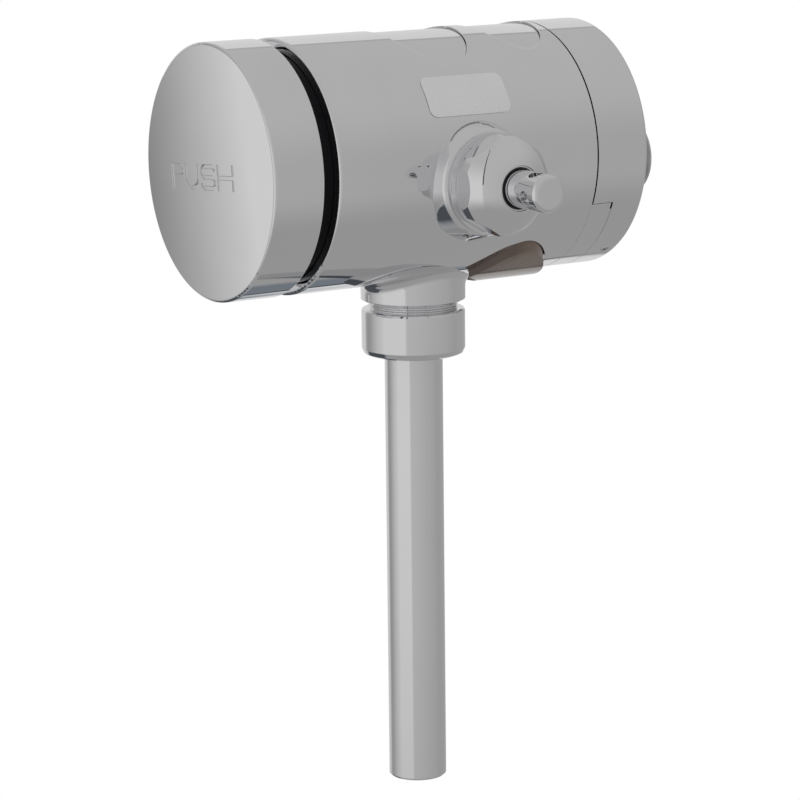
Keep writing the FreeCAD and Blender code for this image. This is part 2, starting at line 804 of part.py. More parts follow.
def make_stem_clip():
    """Open retaining clip in the groove of the stem."""
    start = bulkhead_rear + seat_gap
    ring = tube("Y", clip_radius, stem_radius - stem_groove_depth + fit_gap, start, start + clip_thickness)
    return ring.cut(wedge(-90.0 - 0.5 * clip_opening, -90.0 + 0.5 * clip_opening, start - 1.0, start + 3.0))


def make_button_spring():
    """Return spring round the stem, between the button boss and the bulkhead."""
    start = button_inside + seat_gap
    return coil("Y", button_spring_radius, button_spring_wire, start,
                bulkhead_front - seat_gap, button_spring_turns)


def make_relief_rod():
    """Rod that opens the relief valve when the button is pushed."""
    end = relief_seat_rear + seat_gap + relief_washer_thickness
    shank = rod("Y", relief_rod_radius, button_inside, end - relief_washer_thickness,
                (0.0, relief_height))
    tip = rod("Y", 0.7 * relief_rod_radius, end - relief_washer_thickness - 0.1, end + 0.2,
              (0.0, relief_height))
    return shank.fuse(tip)


def make_relief_washer():
    """Rubber valve disc on the tip of the relief rod."""
    start = relief_seat_rear + seat_gap
    return tube("Y", relief_washer_radius, 0.7 * relief_rod_radius + fit_gap, start,
                start + relief_washer_thickness, (0.0, relief_height))


def make_relief_block():
    """Brass relief valve body in front of the chamber, with its seat and side port."""
    centre = (0.0, relief_height)
    solid = rod("Y", relief_block_radius, relief_block_front, relief_block_rear - seat_gap, centre)
    front_space_start = relief_block_front + relief_front_wall
    seat_front = relief_seat_rear - relief_seat_thickness
    return solid.cut([
        rod("Y", relief_rod_radius + run_gap, relief_block_front - 1.0, front_space_start + 0.1, centre),
        rod("Y", 3.0, front_space_start, seat_front, centre),
        rod("Y", relief_seat_radius, seat_front - 0.1, relief_seat_rear + 0.1, centre),
        rod("Y", relief_cavity_radius, relief_seat_rear, relief_block_rear + 1.0, centre),
        rod("X", relief_port_radius, 0.0, relief_tube_start + 0.1, (relief_tube_y, relief_height)),
        rod("X", relief_tube_radius + fit_gap, relief_tube_start - 0.1, 2.0 * relief_block_radius,
            (relief_tube_y, relief_height)),
        block((relief_tube_x - relief_tube_bend - 0.2, 2.0 * relief_block_radius),
              (relief_tube_y - relief_tube_radius - 0.1, relief_tube_y + relief_tube_radius + 0.1),
              (relief_height - 2.0 * relief_block_radius, relief_height)),
    ])


def make_relief_oring():
    """Rod seal in the front space of the relief valve."""
    start = relief_block_front + relief_front_wall + fit_gap
    return tube("Y", 2.9, relief_rod_radius + run_gap, start, start + 0.9, (0.0, relief_height))


def relief_tube_end():
    """Y of the end of the relief tube inside the wall of the chamber boss."""
    return -math.sqrt(chamber_boss_radius ** 2 - relief_tube_x ** 2) + 1.6


def make_relief_tube():
    """Bent copper tube that drains the relief valve into the outlet."""
    bend = relief_tube_bend
    start = FreeCAD.Vector(relief_tube_start, relief_tube_y, relief_height)
    corner_1 = FreeCAD.Vector(relief_tube_x, relief_tube_y, relief_height)
    corner_2 = FreeCAD.Vector(relief_tube_x, relief_tube_y, relief_tube_low)
    end = FreeCAD.Vector(relief_tube_x, relief_tube_end(), relief_tube_low)
    half = bend * (1.0 - math.sqrt(0.5))
    into_1 = corner_1.sub(FreeCAD.Vector(bend, 0, 0))
    out_1 = corner_1.sub(FreeCAD.Vector(0, 0, bend))
    mid_1 = corner_1.sub(FreeCAD.Vector(half, 0, half))
    into_2 = corner_2.add(FreeCAD.Vector(0, 0, bend))
    out_2 = corner_2.add(FreeCAD.Vector(0, bend, 0))
    mid_2 = corner_2.add(FreeCAD.Vector(0, half, half))
    edges = [
        Part.LineSegment(start, into_1).toShape(),
        Part.Arc(into_1, mid_1, out_1).toShape(),
        Part.LineSegment(out_1, into_2).toShape(),
        Part.Arc(into_2, mid_2, out_2).toShape(),
        Part.LineSegment(out_2, end).toShape(),
    ]
    path = Part.Wire(edges)
    rings = []
    for radius in (relief_tube_radius, relief_tube_radius - 0.5):
        circle = Part.Circle(start, FreeCAD.Vector(1, 0, 0), radius)
        rings.append(path.makePipeShell([Part.Wire(circle.toShape())], True, False))
    return Part.Solid(rings[0]).cut(Part.Solid(rings[1]))


def make_button_sleeve():
    """Black plastic guide sleeve that shows in the gap behind the button."""
    wall = tube("Y", sleeve_radius, sleeve_radius - sleeve_wall, sleeve_front, bulkhead_front)
    flange = tube("Y", sleeve_radius - 0.5, sleeve_flange_inner_radius,
                  bulkhead_front - sleeve_flange_thickness, bulkhead_front)
    holes = []
    for angle in bulkhead_screw_angles:
        holes.append(rod("Y", bulkhead_screw_radius + 0.15, bulkhead_front - 5.0, bulkhead_rear,
                         on_circle(bulkhead_screw_circle, angle)))
    return wall.fuse(flange).cut(holes)


def make_bulkhead():
    """Plate that closes the dry front space and guides the stem and the relief rod."""
    plate = rod("Y", front_bore_radius - fit_gap, bulkhead_front, bulkhead_rear)
    holes = [
        rod("Y", stem_radius + run_gap, bulkhead_front - 1.0, bulkhead_rear + 1.0),
        rod("Y", relief_rod_radius + run_gap, bulkhead_front - 1.0, bulkhead_rear + 1.0,
            (0.0, relief_height)),
    ]
    for angle in bulkhead_screw_angles:
        holes.append(rod("Y", bulkhead_screw_radius + 0.15, bulkhead_front - 1.0, bulkhead_rear + 1.0,
                         on_circle(bulkhead_screw_circle, angle)))
    return plate.cut(holes)


def make_bulkhead_screws():
    """Three screws that clamp the sleeve and the bulkhead to the body."""
    start = bulkhead_front - sleeve_flange_thickness
    length = bulkhead_screw_length + sleeve_flange_thickness - 0.5
    screws = [screw(start, length, on_circle(bulkhead_screw_circle, angle))
              for angle in bulkhead_screw_angles]
    return Part.makeCompound(screws)


# Piston valve group

def make_seat_ring():
    """Pressed brass valve seat above the outlet neck."""
    ring = tube("Z", chamber_radius - fit_gap, seat_bore_radius, seat_bottom + fit_gap, seat_top)
    lip = tube("Z", seat_bore_radius + 1.0, seat_bore_radius, seat_top - 0.1,
               seat_top + seat_lip_height - fit_gap)
    return ring.fuse(lip)


def make_piston():
    """Piston with a guide skirt, a spring pocket and a seal land."""
    profile = [
        (piston_body_bottom, 0.0),
        (piston_body_bottom, piston_skirt_radius),
        (piston_top - cup_height - 1.2, piston_skirt_radius),
        (piston_top - cup_height - 1.2, piston_radius),
        (piston_top - cup_height - 0.2, piston_radius),
        (piston_top - cup_height - 0.2, piston_skirt_radius),
        (piston_top, piston_skirt_radius),
        (piston_top, piston_cavity_radius),
        (piston_cavity_floor, piston_cavity_radius),
        (piston_cavity_floor, 0.0),
    ]
    body = turned("Z", profile)
    return body.cut(rod("Z", 0.5, piston_body_bottom - 1.0, piston_cavity_floor + 1.0, (3.2, 0.0)))


def make_piston_cup():
    """Rubber cup seal on the piston."""
    return tube("Z", chamber_radius - run_gap, piston_skirt_radius + fit_gap,
                piston_top - cup_height - 0.2 + fit_gap, piston_top)


def make_piston_washer():
    """Rubber valve washer under the piston."""
    washer = rod("Z", piston_washer_radius, washer_bottom, piston_body_bottom - fit_gap)
    return washer.cut(rod("Z", 0.5, washer_bottom - 1.0, piston_body_bottom + 1.0, (3.2, 0.0)))


def make_piston_spring():
    """Closing spring between the piston pocket and the chamber cap."""
    return coil("Z", piston_spring_radius, piston_spring_wire, piston_cavity_floor + fit_gap,
                cap_roof - fit_gap, piston_spring_turns)


def make_piston_cap():
    """Screwed brass cap of the chamber, with spanner slots and a key that hangs from its roof."""
    cap = rod("Z", cap_thread_radius - fit_gap, cap_bottom + 0.1, cap_top)
    slot = block((-big, big), (-1.0, 1.0), (cap_top - 1.6, cap_top + 1.0))
    slot = slot.cut(rod("Z", 6.4, 0.0, big))
    key = block((lift_stop_radius - lift_key_depth + 0.1, lift_stop_radius + lift_key_reach),
                (-0.5 * lift_key_width, 0.5 * lift_key_width), (cap_bottom + 0.1, cap_roof + 0.5))
    groove = tube("Z", cap_thread_radius + 1.0, cap_thread_radius - 1.1, cap_bottom + 1.2,
                  cap_bottom + 1.2 + cap_ring_height + 0.2)
    cap = cap.cut([
        rod("Z", cap_cavity_radius, cap_bottom - 1.0, cap_roof),
        rod("Z", flow_screw_radius + run_gap, cap_roof - 1.0, cap_top),
        rod("Z", flow_screw_head_radius + 0.3, cap_top - flow_screw_head_height - 0.5, cap_top + 1.0),
        slot,
        groove,
    ])
    return cap.fuse(key)


def make_cap_ring():
    """O-ring of the chamber cap."""
    low = cap_bottom + 1.3
    return tube("Z", cap_thread_radius - 0.02, cap_thread_radius - 1.1 + fit_gap, low,
                low + cap_ring_height)


def make_flow_screw():
    """Adjusting screw in the cap that sets how far the piston can lift."""
    head = rod("Z", flow_screw_head_radius, cap_top - flow_screw_head_height, cap_top - 0.2)
    head = head.cut(block((-0.5, 0.5), (-big, big), (cap_top - 1.1, cap_top)))
    shank = rod("Z", flow_screw_radius, flow_screw_end, cap_top - flow_screw_head_height + 0.1)
    return head.fuse(shank)


def make_lift_stop():
    """Slotted sleeve that the flow screw drives down, until it stops the piston at its set lift."""
    sleeve = tube("Z", lift_stop_radius, flow_screw_radius + run_gap, lift_stop_bottom, lift_stop_top)
    half = 0.5 * lift_key_width + run_gap
    slot = block((lift_stop_radius - lift_key_depth, 2.0 * lift_stop_radius), (-half, half),
                 (lift_stop_bottom - 1.0, lift_stop_top + 1.0))
    return sleeve.cut(slot)


# Outlet group

def make_breaker_cage():
    """Cage of the vacuum breaker above the flush pipe."""
    bottom = breaker_top - breaker_height
    cage = tube("Z", breaker_radius, breaker_disc_radius + 0.4, bottom, breaker_top)
    top = tube("Z", breaker_radius, breaker_port_radius, breaker_roof, breaker_top)
    foot = tube("Z", breaker_radius, breaker_port_radius, bottom, bottom + breaker_foot)
    return cage.fuse([top, foot])


def make_breaker_disc():
    """Loose rubber disc of the vacuum breaker, at rest on the foot of its cage."""
    top = breaker_top - breaker_height + breaker_foot + seat_gap + breaker_disc_height
    disc = rod("Z", breaker_disc_radius, top - breaker_disc_height, top)
    ports = [rod("Z", 1.0, top - 5.0, top + 5.0, (4.2 * math.cos(a), 4.2 * math.sin(a)))
             for a in (0.0, 2.0 * math.pi / 3.0, 4.0 * math.pi / 3.0)]
    return disc.cut(ports)


def make_flush_pipe():
    """Straight chromed flush pipe: a tail turned down for the packing, a chamfer at its open end."""
    shoulder = nut_bottom - seat_gap
    profile = [
        (pipe_bottom, pipe_radius - pipe_wall),
        (pipe_bottom, pipe_radius - pipe_edge),
        (pipe_bottom + pipe_edge, pipe_radius),
        (shoulder, pipe_radius),
        (shoulder, pipe_tail_radius),
        (pipe_top, pipe_tail_radius),
        (pipe_top, pipe_radius - pipe_wall),
    ]
    return turned("Z", profile)


def make_outlet_nut():
    """Smooth round coupling nut that clamps the flush pipe to the neck."""
    profile = [
        (nut_bottom, pipe_radius + slide_gap),
        (nut_bottom, nut_radius - nut_edge_bottom),
        (nut_bottom + 0.3 * nut_edge_bottom, nut_radius - 0.3 * nut_edge_bottom),
        (nut_bottom + nut_edge_bottom, nut_radius),
        (nut_top - nut_edge_top, nut_radius),
        (nut_top - 0.3 * nut_edge_top, nut_radius - 0.3 * nut_edge_top),
        (nut_top, nut_radius - nut_edge_top),
        (nut_top, neck_thread_radius + fit_gap),
        (nut_bottom + nut_lip, neck_thread_radius + fit_gap),
        (nut_bottom + nut_lip, pipe_radius + slide_gap),
    ]
    return turned("Z", profile)


def make_slip_ring():
    """Thin metal slip ring on the floor of the nut."""
    low = nut_bottom + nut_lip + fit_gap
    return tube("Z", neck_thread_radius - 0.6, pipe_tail_radius + fit_gap, low, low + slip_ring_height)


def make_outlet_packing():
    """Rubber packing between the slip ring and the neck."""
    low = nut_bottom + nut_lip + 2.0 * fit_gap + slip_ring_height
    return tube("Z", neck_thread_radius - 0.6, pipe_tail_radius + fit_gap, low, neck_end - fit_gap)


# Stop valve group

def make_bonnet_washer():
    """Plain chromed ring under the stop valve bonnet."""
    start = stop_face + 0.5 * seat_gap
    return tube("X", bonnet_washer_radius, stop_bore_radius + fit_gap, start,
                start + bonnet_washer_thickness, (stop_y, stop_z))


def hexagon(flats, start, end, centre):
    """Six sided bar along X with one pair of flats square to Y."""
    reach = flats / math.sqrt(3.0)
    points = []
    for side in range(6):
        angle = math.radians(90.0 + 60.0 * side)
        points.append(FreeCAD.Vector(start, centre[0] + reach * math.cos(angle),
                                     centre[1] + reach * math.sin(angle)))
    return Part.Face(Part.makePolygon(points + [points[0]])).extrude(FreeCAD.Vector(end - start, 0, 0))


def make_stop_bonnet():
    """Bonnet of the stop valve: threaded barrel, hexagon with turned edges and domed front."""
    centre = (stop_y, stop_z)
    flat = 0.5 * bonnet_flats
    middle = bonnet_nut_start + 0.5 * bonnet_nut_length
    barrel = rod("X", stop_bore_radius - fit_gap, bonnet_start, bonnet_nut_start + 1.0, centre)
    nut = turned("X", [
        (bonnet_nut_start, 0.0),
        (bonnet_nut_start, flat - 0.5),
        (bonnet_nut_start + 1.6, bonnet_nut_radius - 0.45),
        (middle, bonnet_nut_radius),
        (bonnet_nut_end - 1.6, bonnet_nut_radius - 0.45),
        (bonnet_nut_end, flat - 0.3),
        (bonnet_nut_end, 0.0),
    ], centre)
    nut = nut.common(hexagon(bonnet_flats, bonnet_nut_start - 1.0, bonnet_nut_end + 1.0, centre))
    dome = dome_solid(centre, flat - 0.3)
    solid = barrel.fuse([nut, dome])
    key = block((bonnet_start - 1.0, bonnet_cavity_end), (stop_y - 0.9, stop_y + 0.9),
                (stop_z - stop_plug_radius - 1.2, stop_z + stop_plug_radius + 1.2))
    key = key.common(rod("X", stop_bore_radius - 0.9, bonnet_start - 2.0, bonnet_cavity_end, centre))
    return solid.cut([
        rod("X", bonnet_cavity_radius, bonnet_start - 1.0, bonnet_cavity_end, centre),
        rod("X", spindle_radius + run_gap, bonnet_cavity_end - 1.0, bonnet_mouth + 1.0, centre),
        rod("X", bonnet_mouth_radius, bonnet_mouth - 1.0, bonnet_mouth + 1.0, centre),
        key,
    ])


def dome_solid(centre, base_radius):
    """Shallow domed front of the bonnet, as an arc turned about X."""
    start = FreeCAD.Vector(bonnet_nut_end - 0.5, centre[0], centre[1])
    foot = FreeCAD.Vector(bonnet_nut_end - 0.5, centre[0], centre[1] + base_radius)
    edge = FreeCAD.Vector(bonnet_nut_end, centre[0], centre[1] + base_radius)
    rise = bonnet_mouth - bonnet_nut_end
    run = base_radius - bonnet_mouth_radius
    bulge = FreeCAD.Vector(bonnet_nut_end + 0.60 * rise, centre[0],
                           centre[1] + bonnet_mouth_radius + 0.56 * run)
    lip = FreeCAD.Vector(bonnet_mouth, centre[0], centre[1] + bonnet_mouth_radius)
    tip = FreeCAD.Vector(bonnet_mouth, centre[0], centre[1])
    wire = Part.Wire([
        Part.LineSegment(start, foot).toShape(),
        Part.LineSegment(foot, edge).toShape(),
        Part.Arc(edge, bulge, lip).toShape(),
        Part.LineSegment(lip, tip).toShape(),
        Part.LineSegment(tip, start).toShape(),
    ])
    return Part.Face(wire).revolve(start, FreeCAD.Vector(1, 0, 0), 360)


def make_stop_spindle():
    """Spindle with a round cross-drilled head, a collar and the driving screw."""
    centre = (stop_y, stop_z)
    head = rod("X", spindle_radius, bonnet_cavity_end - 1.0, spindle_end, centre)
    head = round_edges(head, spindle_round, ring_edge(0, spindle_end, spindle_radius))
    collar_end = bonnet_cavity_end - 0.1
    collar = rod("X", bonnet_cavity_radius - 0.2, collar_end - spindle_collar_thickness, collar_end, centre)
    driver = rod("X", spindle_screw_radius, spindle_screw_end, collar_end, centre)
    groove = tube("X", spindle_radius + 1.0, spindle_radius - 1.0, bonnet_nut_end - 2.0,
                  bonnet_nut_end - 0.4, centre)
    holes = []
    middle = FreeCAD.Vector(spindle_hole_x, stop_y, stop_z)
    for tilt in (spindle_hole_tilt, spindle_hole_tilt + 90.0):
        direction = FreeCAD.Vector(0, math.sin(math.radians(tilt)), math.cos(math.radians(tilt)))
        start = middle.sub(FreeCAD.Vector(direction).multiply(spindle_radius + 2.0))
        holes.append(Part.makeCylinder(spindle_hole_radius, 2.0 * spindle_radius + 4.0, start, direction))
    return head.fuse([collar, driver]).cut(holes + [groove])


def make_spindle_ring():
    """O-ring in the groove of the spindle."""
    return tube("X", spindle_radius + run_gap - 0.02, spindle_radius - 1.0 + fit_gap,
                bonnet_nut_end - 1.9, bonnet_nut_end - 0.5, (stop_y, stop_z))


def make_stop_plug():
    """Keyed plug that the spindle screw moves towards the seat."""
    centre = (stop_y, stop_z)
    start = stop_plug_face + stop_washer_thickness
    plug = rod("X", stop_plug_radius, start, start + stop_plug_length, centre)
    key = block((start + 6.5, start + stop_plug_length), (stop_y - 0.7, stop_y + 0.7),
                (stop_z - stop_plug_radius - 0.9, stop_z + stop_plug_radius + 0.9))
    return plug.fuse(key).cut(rod("X", spindle_screw_radius + run_gap, start + stop_plug_floor,
                                  start + stop_plug_length + 1.0, centre))


def make_stop_washer():
    """Rubber washer on the face of the stop plug."""
    return rod("X", stop_washer_radius, stop_plug_face, stop_plug_face + stop_washer_thickness - fit_gap,
               (stop_y, stop_z))


# Inlet group

def make_inlet_nipple():
    """Wall inlet nipple: thread into the body, collar and free end for the supply fitting."""
    collar_start = body_rear + seat_gap
    collar_end = collar_start + nipple_collar_thickness
    solid = turned("Y", [
        (nipple_front + fit_gap, nipple_bore_radius - 1.2),
        (nipple_front + fit_gap, nipple_thread_radius),
        (collar_start, nipple_thread_radius),
        (collar_start, nipple_collar_radius),
        (collar_end, nipple_collar_radius),
        (collar_end, nipple_relief_radius),
        (wall_face, nipple_relief_radius),
        (wall_face, nipple_radius),
        (nipple_end - nipple_edge, nipple_radius),
        (nipple_end, nipple_radius - nipple_edge),
        (nipple_end, nipple_bore_radius),
        (nipple_end - strainer_length - 1.0, nipple_bore_radius),
        (nipple_end - strainer_length - 1.0, nipple_bore_radius - 1.2),
    ], (0.0, inlet_z))
    return solid


def make_inlet_strainer():
    """Perforated strainer cup inside the nipple."""
    centre = (0.0, inlet_z)
    start = nipple_end - strainer_length
    outer = nipple_bore_radius - fit_gap
    cup = tube("Y", outer, outer - strainer_wall, start, nipple_end - 1.0, centre)
    floor = rod("Y", outer, start, start + strainer_wall, centre)
    holes = []
    for row in range(strainer_rows):
        for column in range(strainer_columns):
            angle = 2.0 * math.pi * column / strainer_columns
            radius = strainer_hole_spacing * (row + 1)
            holes.append(rod("Y", strainer_hole_radius, start - 1.0, start + 1.0,
                             (radius * math.cos(angle), inlet_z + radius * math.sin(angle))))
    return cup.fuse(floor).cut(holes)


def make_inlet_packing():
    """Black packing ring round the nipple behind the end cap."""
    start = cap_end + seat_gap
    return tube("Y", packing_ring_radius, nipple_radius + fit_gap, start, wall_face,
                (0.0, inlet_z))


# Solenoid group

def make_solenoid_body():
    """Coil housing of the solenoid on the inlet boss, open up its middle."""
    centre = (0.0, rear_cover_y)
    top = solenoid_bottom + solenoid_base_height + solenoid_height
    coil_case = tube("Z", solenoid_radius, core_radius + fit_gap, solenoid_bottom + solenoid_base_height, top,
                     centre)
    return coil_case


def make_solenoid_core():
    """Core tube of the solenoid, screwed into the inlet boss."""
    centre = (0.0, rear_cover_y)
    return turned("Z", [
        (core_bottom + fit_gap, 1.0),
        (core_bottom + fit_gap, solenoid_socket_radius),
        (solenoid_bottom, solenoid_socket_radius),
        (solenoid_bottom, solenoid_radius - 0.6),
        (solenoid_bottom + solenoid_base_height - fit_gap, solenoid_radius - 0.6),
        (solenoid_bottom + solenoid_base_height - fit_gap, core_radius),
        (core_top, core_radius),
        (core_top, 0.0),
        (core_roof, 0.0),
        (core_roof, core_radius - core_wall),
        (core_floor, core_radius - core_wall),
        (core_floor, 1.0),
    ], centre)


def make_plunger():
    """Moving iron plunger with a pocket for its spring."""
    centre = (0.0, rear_cover_y)
    iron = rod("Z", plunger_radius, plunger_bottom, plunger_top, centre)
    return iron.cut(rod("Z", plunger_pocket_radius, plunger_top - plunger_pocket_depth,
                        plunger_top + 1.0, centre))


def make_plunger_spring():
    """Spring that holds the plunger down."""
    return coil("Z", plunger_spring_radius, plunger_spring_wire, plunger_top - plunger_pocket_depth + fit_gap,
                core_roof - fit_gap, plunger_spring_turns, (0.0, rear_cover_y))


# Sensor and electronics group

def window_outline(half_gap):
    """Oval prism under the body, cut round the neck."""
    shape = oval(window_half_x - half_gap, window_half_y - half_gap, -big, -inner_radius / 3.0, window_y)
    return shape.cut(rod("Z", window_neck_radius + half_gap, -big, big))


def make_sensor_window():
    """Smoked oval window under the body, standing a little proud of it."""
    shell = tube("Y", body_radius + window_proud, body_radius + window_proud - window_depth - 1.2,
                 window_y - 3.0 * window_half_y, window_y + 3.0 * window_half_y)
    return window_outline(0.0).common(shell)


def make_window_holder():
    """Black holder that lines the window opening inside the shell."""
    outline = oval(window_half_x + holder_margin, window_half_y - 0.2, -big, -inner_radius / 3.0, window_y)
    outline = outline.cut(rod("Z", window_neck_radius - 1.2, -big, big))
    shell = tube("Y", inner_radius - fit_gap, inner_radius - holder_thickness, -big, big)
    holes = [rod("Z", eye_radius + 0.3, -big, 0.0, (side * 0.5 * eye_spacing, window_y + 3.0))
             for side in (-1.0, 1.0)]
    return outline.common(shell).cut(holes)


def make_sensor_board():
    """Small circuit board above the window."""
    start = window_y + 3.0 - 0.45 * board_length
    board = block((-board_half_x, board_half_x), (start, start + board_length - 3.0),
                  (board_z, board_z + board_thickness))
    posts = []
    for side in (-1.0, 1.0):
        x = side * (board_half_x - 2.0)
        floor = -math.sqrt((inner_radius - holder_thickness) ** 2 - (abs(x) + 1.4) ** 2)
        posts.append(rod("Z", 1.4, floor + 0.1, board_z + 0.1, (x, start + 2.5)))
    return board.fuse(posts)


def make_sensor_eyes():
    """Infrared emitter and receiver under the board."""
    eyes = []
    for side in (-1.0, 1.0):
        centre = (side * 0.5 * eye_spacing, window_y + 3.0)
        low = -math.sqrt(inner_radius ** 2 - (0.5 * eye_spacing + eye_radius) ** 2) + 1.0
        barrel = rod("Z", eye_radius, low + 0.5 * eye_radius, board_z - fit_gap, centre)
        tip = Part.makeSphere(0.98 * eye_radius, FreeCAD.Vector(centre[0], centre[1], low + eye_radius))
        tip = tip.common(rod("Z", eye_radius, low, board_z - fit_gap, centre))
        eyes.append(barrel.fuse(tip))
    return Part.makeCompound(eyes)


def make_end_cap():
    """Chromed end cap of the wall end, cut away below for the retaining band."""
    cap = rod("Y", body_radius, cap_front, cap_end)
    cap = round_edges(cap, end_cap_edge_round, ring_edge(1, cap_end, body_radius))
    cavity = rod("Y", spigot_radius + fit_gap, cap_front - 1.0, cap_end - end_cap_wall)
    band_room = wedge(band_angle_start - 0.3, band_angle_end + 0.3, cap_front - 1.0,
                      body_rear + band_length + band_gap)
    cuts = [cavity, band_room]
    cuts.append(rod("Y", nipple_radius + slide_gap, cap_front, cap_end + 1.0, (0.0, inlet_z)))
    for angle in grub_angles:
        cuts.append(radial_rod(grub_radius + fit_gap, spigot_radius - spigot_wall - 1.0, body_radius + 2.0,
                               angle, grub_y))
    return cap.cut(cuts)


def make_retaining_band():
    """Flush band under the end cap that locks it to the body."""
    ring = tube("Y", body_radius, spigot_radius + fit_gap, body_rear + 0.5 * band_gap,
                body_rear + band_length)
    notch_start = body_rear + band_length - band_notch_depth
    notch = wedge(band_angle_end - band_notch_angle, band_angle_end + 1.0, notch_start, cap_end)
    mirror_notch = wedge(band_angle_start - 1.0, band_angle_start + band_notch_angle, notch_start, cap_end)
    band = ring.common(wedge(band_angle_start, band_angle_end, body_rear - 1.0, cap_end))
    return band.cut([notch, mirror_notch])


def make_grub_screws():
    """Two grub screws that hold the end cap on the tongues of the body."""
    screws = []
    for angle in grub_angles:
        pin = radial_rod(grub_radius, spigot_radius - spigot_wall, body_radius - 0.6, angle, grub_y)
        slot = radial_rod(0.45, body_radius - 1.6, body_radius + 1.0, angle, grub_y)
        screws.append(pin.cut(slot))
    return Part.makeCompound(screws)


def make_battery_case():
    """Open tray for the battery pack inside the end cap."""
    low = battery_low - case_wall - seat_gap
    outside = block((-battery_half_x - case_wall - seat_gap, battery_half_x + case_wall + seat_gap),
                    (battery_front - case_wall - seat_gap, cap_end - end_cap_wall - fit_gap),
                    (low, battery_high - tray_drop))
    inside = block((-battery_half_x - seat_gap, battery_half_x + seat_gap),
                   (battery_front - seat_gap, battery_rear + seat_gap), (battery_low - seat_gap, big))
    return outside.cut(inside)


def make_battery_pack():
    """Flat battery pack."""
    pack = block((-battery_half_x, battery_half_x), (battery_front, battery_rear),
                 (battery_low, battery_high))
    upright = [edge for edge in pack.Edges if edge.BoundBox.ZLength > 1.0]
    return pack.makeFillet(1.5, upright)


def make_control_board():
    """Controller board between the body and the battery tray."""
    rear = battery_front - case_wall - seat_gap - fit_gap
    board = block((board_margin - battery_half_x, battery_half_x - board_margin),
                  (rear - board_thickness, rear), (battery_low + 0.5, battery_high - tray_drop - 0.5))
    chip = block((-chip_half_x, chip_half_x),
                 (rear - board_thickness - chip_thickness, rear - board_thickness + 0.01),
                 (battery_low + chip_low, battery_low + chip_low + chip_height))
    return board.fuse(chip)


def make_label_plate():
    """Blank rounded label plate on the upper side of the body."""
    ring = tube("Y", body_radius + label_glue + label_thickness, body_radius + label_glue,
                label_centre_y - 2.0 * label_half_y, label_centre_y + 2.0 * label_half_y)
    stamp = Part.makeBox(2.0 * label_stamp_reach, 2.0 * label_half_y, label_width,
                         FreeCAD.Vector(body_radius - label_stamp_reach, label_centre_y - label_half_y,
                                        -0.5 * label_width))
    corners = [edge for edge in stamp.Edges if edge.BoundBox.XLength > 1.9 * label_stamp_reach]
    stamp = stamp.makeFillet(label_corner, corners)
    stamp.rotate(FreeCAD.Vector(0, 0, 0), FreeCAD.Vector(0, -1, 0), label_angle)
    return ring.common(stamp)


parts = {
    "body": make_body,
    "push_button": make_push_button,
    "button_stem": make_button_stem,
    "stem_clip": make_stem_clip,
    "button_spring": make_button_spring,
    "button_sleeve": make_button_sleeve,
    "bulkhead": make_bulkhead,
    "bulkhead_screws": make_bulkhead_screws,
    "relief_rod": make_relief_rod,
    "relief_washer": make_relief_washer,
    "relief_block": make_relief_block,
    "relief_oring": make_relief_oring,
    "relief_tube": make_relief_tube,
    "seat_ring": make_seat_ring,
    "piston": make_piston,
    "piston_cup": make_piston_cup,
    "piston_washer": make_piston_washer,
    "piston_spring": make_piston_spring,
    "piston_cap": make_piston_cap,
    "cap_oring": make_cap_ring,
    "flow_screw": make_flow_screw,
    "lift_stop": make_lift_stop,
    "front_cover": lambda: make_cover(front_cover_half_x, front_cover_half_y, front_cover_y),
    "rear_cover": lambda: make_cover(rear_cover_half_x, rear_cover_half_y, rear_cover_y),
    "breaker_cage": make_breaker_cage,
    "breaker_disc": make_breaker_disc,
    "flush_pipe": make_flush_pipe,
    "outlet_nut": make_outlet_nut,
    "slip_ring": make_slip_ring,
    "outlet_packing": make_outlet_packing,
    "bonnet_washer": make_bonnet_washer,
    "stop_bonnet": make_stop_bonnet,
    "stop_spindle": make_stop_spindle,
    "spindle_oring": make_spindle_ring,
    "stop_plug": make_stop_plug,
    "stop_washer": make_stop_washer,
    "inlet_nipple": make_inlet_nipple,
    "inlet_strainer": make_inlet_strainer,
    "inlet_packing": make_inlet_packing,
    "solenoid_coil": make_solenoid_body,
    "solenoid_core": make_solenoid_core,
    "plunger": make_plunger,
    "plunger_spring": make_plunger_spring,
    "sensor_window": make_sensor_window,
    "window_holder": make_window_holder,
    "sensor_board": make_sensor_board,
    "sensor_eyes": make_sensor_eyes,
    "end_cap": make_end_cap,
    "retaining_band": make_retaining_band,
    "grub_screws": make_grub_screws,
    "battery_case": make_battery_case,
    "battery_pack": make_battery_pack,
    "control_board": make_control_board,
    "label_plate": make_label_plate,
}

os.makedirs("parts", exist_ok=True)
to_wall = FreeCAD.Vector(0, -wall_face, -inlet_z)
for name, make in parts.items():
    shape = make()
    shape.translate(to_wall)
    shape.exportStep("parts/" + name + ".step")
    print(name, "solids", len(shape.Solids), "valid", shape.isValid(), "volume", round(shape.Volume, 1))
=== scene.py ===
import json
import math

